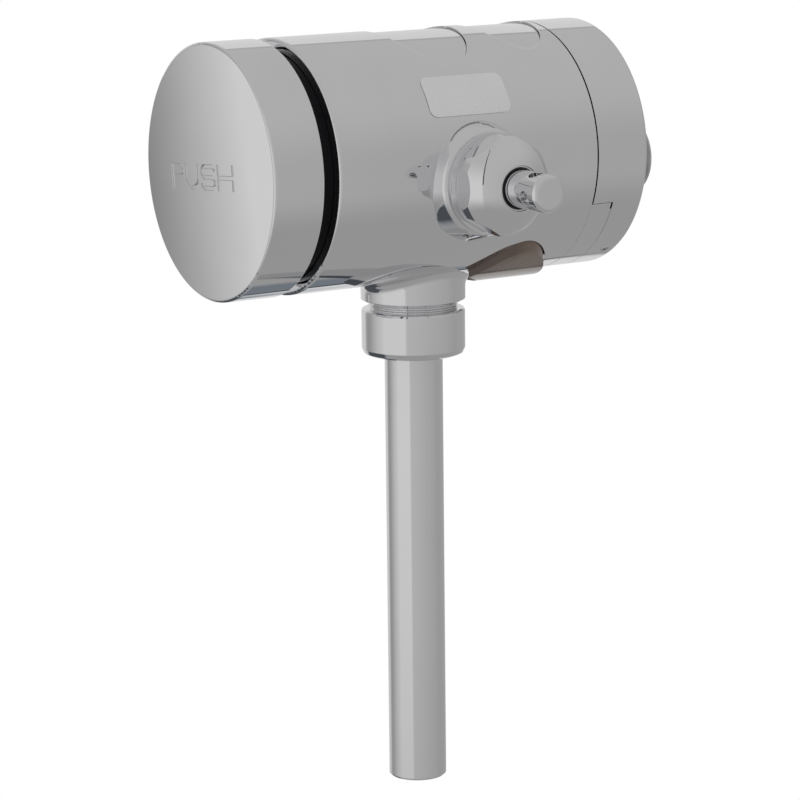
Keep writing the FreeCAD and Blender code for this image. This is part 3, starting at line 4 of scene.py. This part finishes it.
import bpy
import numpy as np
from mathutils import Matrix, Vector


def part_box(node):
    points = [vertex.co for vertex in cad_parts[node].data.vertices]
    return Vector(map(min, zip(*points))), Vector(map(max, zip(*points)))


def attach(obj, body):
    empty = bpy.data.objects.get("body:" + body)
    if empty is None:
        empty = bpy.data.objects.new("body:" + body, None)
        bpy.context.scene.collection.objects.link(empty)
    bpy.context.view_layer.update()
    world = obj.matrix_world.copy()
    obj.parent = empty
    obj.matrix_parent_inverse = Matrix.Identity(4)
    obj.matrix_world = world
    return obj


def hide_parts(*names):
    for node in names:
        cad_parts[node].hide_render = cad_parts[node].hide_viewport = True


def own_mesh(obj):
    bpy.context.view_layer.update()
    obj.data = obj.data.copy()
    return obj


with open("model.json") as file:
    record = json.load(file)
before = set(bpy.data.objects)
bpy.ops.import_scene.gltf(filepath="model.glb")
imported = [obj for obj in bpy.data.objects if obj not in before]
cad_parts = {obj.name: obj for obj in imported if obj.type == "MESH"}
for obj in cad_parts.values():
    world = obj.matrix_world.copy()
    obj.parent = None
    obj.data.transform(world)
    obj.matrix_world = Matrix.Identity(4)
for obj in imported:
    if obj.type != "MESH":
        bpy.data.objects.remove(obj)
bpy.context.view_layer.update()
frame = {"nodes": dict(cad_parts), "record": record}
nodes = frame["nodes"]
scene = bpy.context.scene

# Lengths are in metres. The wall is the plane Y = 0, and the inlet nipple lies on its normal.
body_axis_z = 0.0058
face_plane_y = -0.1194
camera_place = np.array([0.75087, -0.5353, 0.11823])
camera_azimuth = math.radians(32.269)
camera_pitch = math.radians(11.443)
camera_roll = math.radians(-0.638)
focal_in_pixels = 3301.05
image_pixels = 800.0
sensor_width = 36.0
floor_z = -1.0
floor_reach = 6.0
tent_radius = 0.95
card_distance = 0.85
card_half_width = 0.048
card_half_height = 0.082
card_grade_width = 0.065
mouth_inset = 0.0003


# Shader arithmetic

class Wire:
    """Output of a shader node. Arithmetic on it adds the matching Math nodes."""

    def __init__(self, tree, socket=None):
        self.tree = tree
        self.socket = socket

    def make(self, kind, inputs=(), settings=(), stops=(), out=0):
        """New node of one kind: its settings and ramp stops first, then its sockets' values or links."""
        node = self.tree.nodes.new(kind)
        for key, value in dict(settings).items():
            setattr(node, key, value)
        if stops:
            ramp = node.color_ramp
            while len(ramp.elements) < len(stops):
                ramp.elements.new(1.0)
            for element, (place, level) in zip(ramp.elements, stops):
                element.position = place
                element.color = (level, level, level, 1.0)
        for key, value in dict(inputs).items():
            if isinstance(value, Wire):
                self.tree.links.new(value.socket, node.inputs[key])
            else:
                node.inputs[key].default_value = value
        return Wire(self.tree, node.outputs[out])

    def math(self, operation, other):
        return self.make("ShaderNodeMath", {0: self, 1: other}, {"operation": operation})

    def __add__(self, other):
        return self.math("ADD", other)

    def __sub__(self, other):
        return self.math("SUBTRACT", other)

    def __mul__(self, other):
        return self.math("MULTIPLY", other)

    def __rsub__(self, other):
        return (self * -1.0) + other

    __radd__ = __add__
    __rmul__ = __mul__

    def step(self, low, high):
        """Smooth rise from 0 at low to 1 at high."""
        return self.make("ShaderNodeMapRange", {"Value": self, "From Min": low, "From Max": high},
                         {"interpolation_type": "SMOOTHSTEP"})

    def blend(self, first, second):
        """Colour that goes from first to second as this value goes from 0 to 1."""
        return self.make("ShaderNodeMix", {0: self, 6: first, 7: second}, {"data_type": "RGBA"}, out=2)


def start_finish(name):
    """Empty node material with a Principled shader; gives the material, its wires and the shader."""
    material = bpy.data.materials.new(name)
    material.use_nodes = True
    tree = material.node_tree
    return material, Wire(tree), tree.nodes["Principled BSDF"]


def connect(shader, **inputs):
    """Sets or links sockets of the Principled shader; an underscore in a name stands for a space."""
    for key, value in inputs.items():
        socket = shader.inputs[key.replace("_", " ")]
        if isinstance(value, Wire):
            shader.id_data.links.new(value.socket, socket)
        else:
            socket.default_value = value


def noise(wires, place, scale, detail, rough=0.5):
    """Noise from 0 to 1 in space, at a scale in cells a metre."""
    return wires.make("ShaderNodeTexNoise", {"Vector": place, "Scale": scale, "Detail": detail,
                                             "Roughness": rough})


def stretch(wires, place, factors):
    """Object coordinates with their axes scaled, for grain that runs one way."""
    return wires.make("ShaderNodeMapping", {"Vector": place, "Scale": factors})


def bump(wires, height, distance, strength):
    """Normal of a surface raised by a height from 0 to 1 times a distance."""
    return wires.make("ShaderNodeBump", {"Height": height, "Distance": distance, "Strength": strength})


def rgb(red, green, blue):
    return (red, green, blue, 1.0)


def seen_directly(wires):
    """1 for rays from the camera, off polished surfaces and through clear ones, else 0."""
    path = wires.tree.nodes.new("ShaderNodeLightPath")
    camera, glossy, clear = [Wire(wires.tree, path.outputs[name])
                             for name in ("Is Camera Ray", "Is Glossy Ray", "Is Transmission Ray")]
    return camera.math("MAXIMUM", glossy).math("MAXIMUM", clear)


# Finishes

def plated_finish(name, colour, base_roughness=0.012, edge=0.00022, waviness=0.000003):
    """Polished plating: faint casting ripple, light wipe marks, dull haze in patches, buffed edges."""
    material, wires, shader = start_finish(name)
    place = wires.make("ShaderNodeTexCoord", out="Object")
    ripple = noise(wires, place, 95.0, 1.0)
    haze = noise(wires, place, 34.0, 4.0).step(0.42, 0.72)
    wipe = noise(wires, stretch(wires, place, (1.0, 0.16, 1.0)), 2600.0, 3.0).step(0.50, 0.80)
    tint = haze.blend(rgb(*colour), rgb(*[0.975 * part for part in colour]))
    buffed = wires.make("ShaderNodeBevel", {"Radius": edge}, {"samples": 6})
    relief = wires.make("ShaderNodeBump", {"Height": ripple, "Distance": waviness, "Strength": 0.5,
                                           "Normal": buffed})
    connect(shader, Base_Color=tint, Metallic=1.0, Roughness=haze * 0.014 + wipe * 0.010 + base_roughness,
            Normal=relief)
    return material


def turned_finish(name, colour, roughness, along):
    """Machined metal with fine tool marks round one axis and slight tarnish."""
    material, wires, shader = start_finish(name)
    place = wires.make("ShaderNodeTexCoord", out="Object")
    factors = tuple(1.0 if axis == along else 0.04 for axis in "XYZ")
    marks = noise(wires, stretch(wires, place, factors), 5200.0, 3.0)
    tarnish = noise(wires, place, 120.0, 5.0).step(0.40, 0.75)
    tint = tarnish.blend(rgb(*colour), rgb(*[0.82 * part for part in colour]))
    connect(shader, Base_Color=tint, Metallic=1.0, Roughness=marks * 0.16 + tarnish * 0.10 + roughness,
            Normal=bump(wires, marks, 0.000012, 0.6))
    return material


def moulded_finish(name, colour, roughness, grain, depth, coat=0.0, shine=0.5):
    """Moulded plastic with a fine spark-eroded grain and faint flow shading."""
    material, wires, shader = start_finish(name)
    place = wires.make("ShaderNodeTexCoord", out="Object")
    speckle = noise(wires, place, grain, 3.0, 0.6)
    flow = noise(wires, place, 45.0, 3.0)
    tint = flow.blend(rgb(*[0.85 * part for part in colour]), rgb(*[1.15 * part for part in colour]))
    connect(shader, Base_Color=tint, Roughness=speckle * 0.10 + roughness, Coat_Weight=coat,
            Specular_IOR_Level=shine, Normal=bump(wires, speckle, depth, 0.5))
    return material


def rubber_finish(name):
    """Matt black rubber with a dusty bloom in patches."""
    material, wires, shader = start_finish(name)
    place = wires.make("ShaderNodeTexCoord", out="Object")
    bloom = noise(wires, place, 210.0, 5.0).step(0.45, 0.80)
    pores = noise(wires, place, 6000.0, 2.0)
    connect(shader, Base_Color=bloom.blend(rgb(0.022, 0.022, 0.023), rgb(0.060, 0.059, 0.057)),
            Roughness=bloom * 0.18 + 0.62, Normal=bump(wires, pores, 0.00002, 0.5))
    return material


def smoked_finish(name):
    """Smoked brown filter plastic: glossy, a little cloudy in depth, with faint wipe marks."""
    material, wires, shader = start_finish(name)
    place = wires.make("ShaderNodeTexCoord", out="Object")
    cloud = noise(wires, place, 60.0, 3.0).step(0.35, 0.75)
    wipe = noise(wires, stretch(wires, place, (0.12, 1.0, 1.0)), 3000.0, 3.0).step(0.5, 0.8)
    connect(shader, Base_Color=cloud.blend(rgb(0.098, 0.070, 0.056), rgb(0.162, 0.123, 0.100)),
            Roughness=wipe * 0.06 + 0.07, Coat_Weight=0.12, IOR=1.42)
    return material


def label_finish(name):
    """Blank satin silver plate with a very fine brushed grain along its length."""
    material, wires, shader = start_finish(name)
    place = wires.make("ShaderNodeTexCoord", out="Object")
    grain = noise(wires, stretch(wires, place, (1.0, 0.03, 1.0)), 7000.0, 3.0)
    cloud = noise(wires, place, 80.0, 2.0)
    connect(shader, Base_Color=cloud.blend(rgb(0.80, 0.80, 0.80), rgb(0.87, 0.87, 0.87)), Metallic=0.9,
            Roughness=grain * 0.08 + 0.24, Normal=bump(wires, grain, 0.0000008, 0.4))
    return material


def board_finish(name):
    """Green solder resist over copper tracks, with a fine glass weave below it."""
    material, wires, shader = start_finish(name)
    place = wires.make("ShaderNodeTexCoord", out="Object")
    tracks = wires.make("ShaderNodeTexVoronoi", {"Vector": place, "Scale": 420.0},
                        {"feature": "DISTANCE_TO_EDGE"}).step(0.02, 0.09)
    weave = noise(wires, place, 3200.0, 2.0)
    connect(shader, Base_Color=tracks.blend(rgb(0.035, 0.26, 0.11), rgb(0.012, 0.13, 0.05)),
            Roughness=weave * 0.12 + 0.28, Normal=bump(wires, tracks, 0.00003, 0.4))
    return material


chrome = plated_finish("polished_chrome", (0.80, 0.80, 0.81))
chrome_tube = plated_finish("chrome_tube", (0.80, 0.80, 0.805), 0.016)
steel = turned_finish("turned_steel", (0.66, 0.66, 0.66), 0.20, "Y")
brass = turned_finish("turned_brass", (0.76, 0.60, 0.33), 0.20, "Z")
copper = turned_finish("drawn_copper", (0.72, 0.42, 0.28), 0.18, "Z")
sleeve_black = moulded_finish("sleeve_black", (0.004, 0.004, 0.005), 0.06, 2600.0, 0.000006, 0.0, 0.08)
grey_moulding = moulded_finish("grey_moulding", (0.35, 0.36, 0.37), 0.45, 3200.0, 0.00002)
blue_wrap = moulded_finish("blue_wrap", (0.10, 0.14, 0.30), 0.22, 900.0, 0.00001, 0.3)
black_rubber = rubber_finish("black_rubber")
smoked_plastic = smoked_finish("smoked_plastic")
silver_label = label_finish("silver_label")
green_board = board_finish("green_board")

finish_of_slot = {
    "chrome": chrome,
    "brass": brass,
    "stainless": steel,
    "copper": copper,
    "black_plastic": sleeve_black,
    "black_rubber": black_rubber,
    "smoked_plastic": smoked_plastic,
    "green_board": green_board,
    "grey_plastic": grey_moulding,
    "battery_wrap": blue_wrap,
    "label": silver_label,
}
for entry in frame["record"]["subparts"]:
    mesh = nodes[entry["node"]].data
    mesh.materials.clear()
    mesh.materials.append(finish_of_slot[entry["material_slot"]])
nodes["flush_pipe"].data.materials[0] = chrome_tube


# New pieces

def surface(name, grid, wrap_rows=False, wrap_columns=False, capped=False):
    """Mesh of a grid of points, shape (rows, columns, 3), closed along the directions that wrap.

    A capped surface gets a flat face over its first row and one over its last.
    """
    rows, columns = grid.shape[:2]
    index = np.arange(rows * columns).reshape(rows, columns)
    if wrap_rows:
        index = np.vstack([index, index[:1]])
    if wrap_columns:
        index = np.hstack([index, index[:, :1]])
    quads = np.stack([index[:-1, :-1], index[1:, :-1], index[1:, 1:], index[:-1, 1:]], axis=-1).reshape(-1, 4)
    faces = quads.tolist()
    if capped:
        faces += [index[0, :columns].tolist(), index[-1, :columns][::-1].tolist()]
    mesh = bpy.data.meshes.new(name)
    mesh.from_pydata(grid.reshape(-1, 3).tolist(), [], faces)
    mesh.polygons.foreach_set("use_smooth", np.ones(len(mesh.polygons), dtype=bool))
    mesh.update()
    piece = bpy.data.objects.new(name, mesh)
    scene.collection.objects.link(piece)
    return piece


def threaded_nipple():
    """Inlet nipple as one closed surface turned about the Y axis.

    Its profile runs out along the outside and back through the bore. Between the two ends of the
    thread the radius is the crest less the depth times a triangle wave of (y / pitch - turn), with
    the depth fading in and out over one pitch, so the thread is a true helix.
    """
    crest, depth, pitch = 0.01048, 0.00116, 0.001814
    thread_start, thread_end, thread_rows, rows_before = 0.0004, 0.0166, 150, 8
    turns = np.linspace(0.0, 1.0, 144, endpoint=False)[None, :]
    outside_y = np.concatenate([
        [-0.02955, -0.0189, -0.0189, -0.0163, -0.0163, 0.0, 0.0, thread_start],
        np.linspace(thread_start, thread_end, thread_rows), [0.0174]])
    outside_r = np.concatenate([
        [0.0090, 0.0090, 0.0128, 0.0128, 0.0099, 0.0099, crest, crest],
        np.full(thread_rows, crest), [crest - 0.0012]])
    bore_y = np.array([0.0174, -0.0016, -0.0016, -0.02955])
    bore_r = np.array([0.0072, 0.0072, 0.0060, 0.0060])
    y = np.concatenate([outside_y, bore_y])[:, None] + 0.0 * turns
    radius = np.concatenate([outside_r, bore_r])[:, None] + 0.0 * turns
    phase = (y / pitch - turns) % 1.0
    wave = 1.0 - np.abs(2.0 * phase - 1.0)
    fade = np.clip((y - thread_start) / pitch, 0.0, 1.0) * np.clip((thread_end - y) / pitch + 0.35, 0.0, 1.0)
    outer = np.zeros_like(y)
    outer[rows_before:rows_before + thread_rows] = 1.0
    radius = radius - depth * wave * fade * outer
    angle = 2.0 * np.pi * turns
    grid = np.stack([radius * np.cos(angle), y, radius * np.sin(angle)], axis=-1)
    piece = surface("threaded_nipple", grid, wrap_rows=True, wrap_columns=True)
    split = piece.modifiers.new("crisp edges", "EDGE_SPLIT")
    split.split_angle = math.radians(50.0)
    return piece


def mouth_ring(name, inner, outer, depth, squareness):
    """Ring in the mouth of the stop valve, turned about the valve's own axis along X.

    Its section is the closed superellipse (half width times c, half depth times s), where c and s
    are the cosine and sine of the angle round the section raised to the squareness with their sign.
    """
    low, high = [np.array(corner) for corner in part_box("stop_bonnet")]
    centre = 0.5 * (low + high)
    around = np.linspace(0.0, 2.0 * np.pi, 96, endpoint=False)[None, :]
    section = np.linspace(0.0, 2.0 * np.pi, 20, endpoint=False)[:, None]
    wide, deep = [np.sign(wave) * np.abs(wave) ** squareness for wave in (np.cos(section), np.sin(section))]
    radius = 0.5 * (inner + outer) + 0.5 * (outer - inner) * wide
    x = high[0] - mouth_inset - 0.5 * depth * (1.0 + deep) + 0.0 * around
    grid = np.stack([x, centre[1] + radius * np.cos(around), centre[2] + radius * np.sin(around)], axis=-1)
    return surface(name, grid, wrap_rows=True, wrap_columns=True)


def neck_thread():
    """Thread of the outlet neck where it shows above the nut, turned about the neck's upright axis.

    The radius runs out from the sleeve's inside to a crest less the depth times a triangle wave of
    (height / pitch - turn), with the depth fading out at both ends of the sleeve.
    """
    nut_low, nut_high = [np.array(corner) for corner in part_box("outlet_nut")]
    centre = 0.5 * (nut_low + nut_high)
    start, length = nut_high[2] + 0.00005, 0.0016
    inner, crest, depth, pitch, fade_length = 0.01187, 0.01216, 0.00027, 0.00062, 0.0002
    rows = 61
    turns = np.linspace(0.0, 1.0, 120, endpoint=False)[None, :]
    rise = np.concatenate([np.linspace(0.0, length, rows), [length, 0.0]])[:, None] + 0.0 * turns
    phase = (rise / pitch - turns) % 1.0
    fade = np.clip(rise / fade_length, 0.0, 1.0) * np.clip((length - rise) / fade_length, 0.0, 1.0)
    radius = crest - depth * (1.0 - np.abs(2.0 * phase - 1.0)) * fade
    radius[rows:] = inner
    angle = -2.0 * np.pi * turns
    grid = np.stack([centre[0] + radius * np.cos(angle), centre[1] + radius * np.sin(angle), start + rise],
                    axis=-1)
    return surface("neck_thread", grid, wrap_rows=True, wrap_columns=True)


def soft_spring(node, joint, wire, turns, upright):
    """Compression spring in the place of a rigid CAD one.

    About its own axis the wire's middle is (R cos a, R sin a, rise times a). The wire is a circle
    round it, wire times (n cos s + b sin s), with n the outward normal and b the binormal.
    """
    low, high = [np.array(corner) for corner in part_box(node)]
    along = 2 if upright else 1
    length = high[along] - low[along]
    mean_radius = 0.5 * (high[0] - low[0]) - wire
    rise = (length - 2.0 * wire) / (2.0 * np.pi * turns)
    steps_a_turn, wire_sides = 28, 12
    a = np.linspace(0.0, 2.0 * np.pi * turns, steps_a_turn * turns + 1)[:, None]
    s = np.linspace(0.0, 2.0 * np.pi, wire_sides, endpoint=False)[None, :]
    slope = math.hypot(mean_radius, rise)
    normal = np.stack([np.cos(a), np.sin(a), 0.0 * a], axis=-1)
    binormal = np.stack([rise * np.sin(a), -rise * np.cos(a), mean_radius + 0.0 * a], axis=-1) / slope
    middle = np.stack([mean_radius * np.cos(a), mean_radius * np.sin(a), rise * a], axis=-1)
    grid = middle + wire * (np.cos(s)[..., None] * normal + np.sin(s)[..., None] * binormal)
    centre = 0.5 * (low + high)
    centre[along] = low[along] + wire
    if not upright:
        grid = np.stack([grid[..., 0], grid[..., 2], -grid[..., 1]], axis=-1)
    piece = surface(node + "_coil", grid + centre, wrap_columns=True, capped=True)
    piece.data.materials.append(steel)
    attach(piece, "valve_body")
    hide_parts(node)
    anchor = centre.copy()
    anchor[along] = high[along]
    travel = next(row["range_m"][1] for row in frame["record"]["behaviour"]["joints"]
                  if row["name"] == joint)
    1.0 - travel / length
    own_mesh(piece)


# Black rubber ring just inside the stop valve's mouth round the spindle, which makes the gap round the
# spindle render dark.
dark_ring = mouth_ring("dark_mouth_ring", 0.00506, 0.00544, 0.0012, 1.0)
dark_ring.data.materials.append(black_rubber)
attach(dark_ring, "valve_body")

bush = mouth_ring("mouth_bush", 0.00546, 0.00598, 0.0016, 0.45)
bush.data.materials.append(chrome)
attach(bush, "valve_body")

neck_ridges = neck_thread()
neck_ridges.data.materials.append(chrome)
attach(neck_ridges, "valve_body")

nipple = threaded_nipple()
nipple.data.materials.append(steel)
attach(nipple, "valve_body")
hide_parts("inlet_nipple")

soft_spring("button_spring", "button_push", 0.0006, 8, False)
soft_spring("piston_spring", "piston_lift", 0.00045, 8, True)
soft_spring("plunger_spring", "plunger_lift", 0.00025, 5, True)


# Studio

def emitting(name, level):
    """Card or tent material that gives out light; the level function gives its strength and colour."""
    material = bpy.data.materials.new(name)
    material.use_nodes = True
    tree = material.node_tree
    tree.nodes.remove(tree.nodes["Principled BSDF"])
    wires = Wire(tree)
    glow, tint = level(wires)
    light = wires.make("ShaderNodeEmission", {"Color": tint, "Strength": glow})
    tree.links.new(light.socket, tree.nodes["Material Output"].inputs["Surface"])
    return material


def reflected_only(obj):
    """Marks a piece of the studio that shows in polished surfaces but not to the camera."""
    obj.visible_camera = False
    obj.visible_diffuse = False
    obj.visible_shadow = False
    obj.visible_transmission = False


def tent_strength(wires):
    """Level of the tent round the object.

    Near the horizon it follows the compass direction. Overhead it is an even top light, and
    underneath a darker floor with a dark table behind and to the left. The white backdrop behind the
    object, as the camera sees it, ends in a sharp upper edge with a thin shaded line along it, and a
    thin dark slit runs overhead from the edge of the bright side.
    """
    place = wires.make("ShaderNodeTexCoord", out="Object")
    unit = wires.make("ShaderNodeVectorMath", {0: place}, {"operation": "NORMALIZE"})
    tree = wires.tree
    parts = tree.nodes.new("ShaderNodeSeparateXYZ")
    tree.links.new(unit.socket, parts.inputs[0])
    east, north, up = [Wire(tree, parts.outputs[i]) for i in range(3)]
    down = up * -1.0
    compass = north.math("ARCTAN2", east) * (0.5 / math.pi) + 0.5
    levels = [(-180, .66), (-165, .70), (-157, .40), (-149, .33), (-140, .36), (-131, .45), (-119, .56),
              (-107, .64), (-98, .71), (-53, .71), (-49, .54), (-23, .51), (0, .48), (17, .457), (41, .434),
              (68, .385), (104, .40), (132, .42), (136, .72), (176, .72), (180, .66)]
    stops = [((angle + 180.0) / 360.0, level) for angle, level in levels]
    ring = wires.make("ShaderNodeValToRGB", {"Fac": compass}, stops=stops)
    backdrop = compass.step(0.867, 0.878) * (1.0 - compass.step(0.985, 0.995))
    high = up.step(0.05, 0.80) * (1.0 - backdrop) + up.step(0.564, 0.576) * backdrop
    level = ring * (1.0 - high) + high * 0.52
    shade = up.step(0.568, 0.580) * (1.0 - up.step(0.59, 0.63)) * backdrop
    low = down.step(0.30, 0.75) * (1.0 - backdrop) + down.step(0.640, 0.650) * backdrop
    level = level * (1.0 - low) + low * 0.36
    left_side = 1.0 - compass.step(0.17, 0.20)
    behind = compass.step(0.860, 0.885).math("MAXIMUM", left_side)
    dark_end = compass.step(0.905, 0.935).math("MAXIMUM", left_side)
    reach = down.step(0.640, 0.660).math("MAXIMUM", down.step(0.46, 0.52) * dark_end)
    table = behind * reach * (1.0 - down.step(0.80, 0.87))
    rim = behind * down.step(0.630, 0.640) * (1.0 - down.step(0.660, 0.675)) * (1.0 - dark_end)
    slit = compass.step(0.3565, 0.3590) * (1.0 - compass.step(0.3630, 0.3655)) * up.step(0.02, 0.10)
    glow = level * (1.0 - table) * (1.0 - shade * 0.14) + table * (0.22 - dark_end * 0.13)
    glow = glow * (1.0 - rim * 0.8) * (1.0 - slit * 0.95)
    return glow, table.blend(rgb(1.0, 1.0, 1.0), rgb(0.84, 0.94, 1.06))


def tent():
    """Sphere round the object: x, y, z = radius times (cos e cos a, cos e sin a, sin e)."""
    azimuth = np.linspace(0.0, 2.0 * np.pi, 96, endpoint=False)[None, :]
    height = np.linspace(-0.5 * np.pi + 0.001, 0.5 * np.pi - 0.001, 49)[:, None]
    grid = tent_radius * np.stack([np.cos(height) * np.cos(azimuth), np.cos(height) * np.sin(azimuth),
                                   np.sin(height) + 0.0 * azimuth], axis=-1)
    shell = surface("studio_tent", grid, wrap_columns=True)
    shell.data.materials.append(emitting("tent_cloth", tent_strength))
    reflected_only(shell)


def face_card():
    """Flat graded card that the button face mirrors, placed on the mirrored line of sight."""
    mirrored = camera_place * [1.0, -1.0, 1.0] + [0.0, 2.0 * face_plane_y, 0.0]
    face_centre = np.array([0.0, face_plane_y, body_axis_z])
    away = face_centre - mirrored
    away /= np.linalg.norm(away)
    centre = face_centre + card_distance * away
    across = np.array([-away[1], away[0], 0.0])
    across /= np.linalg.norm(across)
    if across[0] < 0.0:
        across = -across
    upward = np.cross(across, away)
    u = np.linspace(-card_half_width, card_half_width, 3)[None, :, None]
    v = np.linspace(-card_half_height, card_half_height, 3)[:, None, None]
    card = surface("face_card", centre + u * across + v * upward)

    def graded(wires):
        place = wires.make("ShaderNodeTexCoord", out="Object")
        along = wires.make("ShaderNodeVectorMath", {0: place, 1: tuple(across)},
                           {"operation": "DOT_PRODUCT"}, out="Value")
        above = wires.make("ShaderNodeVectorMath", {0: place, 1: tuple(upward)},
                           {"operation": "DOT_PRODUCT"}, out="Value") - float(centre @ upward)
        share = (along - float(centre @ across)) * (1.0 / card_grade_width)
        level = (share * 0.565 + 0.56 - above * 0.85).math("MAXIMUM", 0.25).math("MINIMUM", 0.74)
        return level, rgb(1.0, 1.0, 1.0)

    card.data.materials.append(emitting("graded_card", graded))
    reflected_only(card)


def floor():
    """Wide pale floor far under the wall-mounted object; white to the camera, shaded elsewhere."""
    u = np.linspace(-floor_reach, floor_reach, 5)[None, :]
    v = np.linspace(-floor_reach, floor_reach, 5)[:, None]
    grid = np.stack([u + 0.0 * v, v + 0.0 * u, floor_z + 0.0 * (u + v)], axis=-1)
    plate = surface("floor", grid)
    material, wires, shader = start_finish("pale_floor")
    place = wires.make("ShaderNodeTexCoord", out="Object")
    mottle = noise(wires, place, 9.0, 4.0)
    connect(shader, Base_Color=mottle.blend(rgb(0.86, 0.86, 0.86), rgb(0.90, 0.90, 0.90)), Roughness=0.8)
    tree = material.node_tree
    seen = seen_directly(wires)
    white = wires.make("ShaderNodeEmission", {"Color": rgb(1.0, 1.0, 1.0), "Strength": 1.0})
    mixed = wires.make("ShaderNodeMixShader", {0: seen, 1: Wire(tree, shader.outputs[0]), 2: white})
    tree.links.new(mixed.socket, tree.nodes["Material Output"].inputs["Surface"])
    plate.data.materials.append(material)


def world_light():
    """White to the camera, in glass and in metal; soft even light on everything else."""
    world = bpy.data.worlds.new("studio_world")
    scene.world = world
    world.use_nodes = True
    tree = world.node_tree
    seen = seen_directly(Wire(tree))
    background = tree.nodes["Background"]
    background.inputs["Color"].default_value = rgb(1.0, 1.0, 1.0)
    tree.links.new((seen * 0.35 + 0.65).socket, background.inputs["Strength"])


def soft_lamp(name, place, target, size, power):
    """Large soft lamp that lights matt surfaces; the tent stands for its shape in polished ones."""
    light = bpy.data.lights.new(name, "AREA")
    light.shape = "SQUARE"
    light.size = size
    light.energy = power
    lamp = bpy.data.objects.new(name, light)
    scene.collection.objects.link(lamp)
    back = np.array(place) - np.array(target)
    back /= np.linalg.norm(back)
    side = np.cross([0.0, 0.0, 1.0], back)
    side /= np.linalg.norm(side)
    lamp.matrix_world = Matrix([[*row, p] for row, p in zip(
        np.stack([side, np.cross(back, side), back], axis=1).tolist(), place)] + [[0, 0, 0, 1]])
    lamp.visible_glossy = False
    lamp.visible_camera = False


def place_camera():
    """Camera of the photograph's viewing angle: forward, right and up from azimuth, pitch and roll."""
    forward = np.array([-math.cos(camera_pitch) * math.cos(camera_azimuth),
                        math.cos(camera_pitch) * math.sin(camera_azimuth), -math.sin(camera_pitch)])
    right = np.array([math.sin(camera_azimuth), math.cos(camera_azimuth), 0.0])
    upward = np.cross(right, forward)
    rolled_right = right * math.cos(camera_roll) + upward * math.sin(camera_roll)
    rolled_up = upward * math.cos(camera_roll) - right * math.sin(camera_roll)
    data = bpy.data.cameras.new("camera")
    data.sensor_width = sensor_width
    data.lens = focal_in_pixels / image_pixels * sensor_width
    data.clip_start = 0.01
    camera = bpy.data.objects.new("camera", data)
    scene.collection.objects.link(camera)
    turn = np.stack([rolled_right, rolled_up, -forward], axis=1).tolist()
    camera.matrix_world = Matrix([[*row, p] for row, p in zip(turn, camera_place.tolist())] + [[0, 0, 0, 1]])
    scene.camera = camera


tent()
face_card()
floor()
world_light()
soft_lamp("key_lamp", (0.9, -1.1, 1.2), (0.0, -0.06, -0.02), 1.0, 14.0)
soft_lamp("fill_lamp", (1.2, 0.9, 0.4), (0.0, -0.06, -0.02), 1.0, 5.0)
place_camera()
scene.view_settings.view_transform = "Standard"
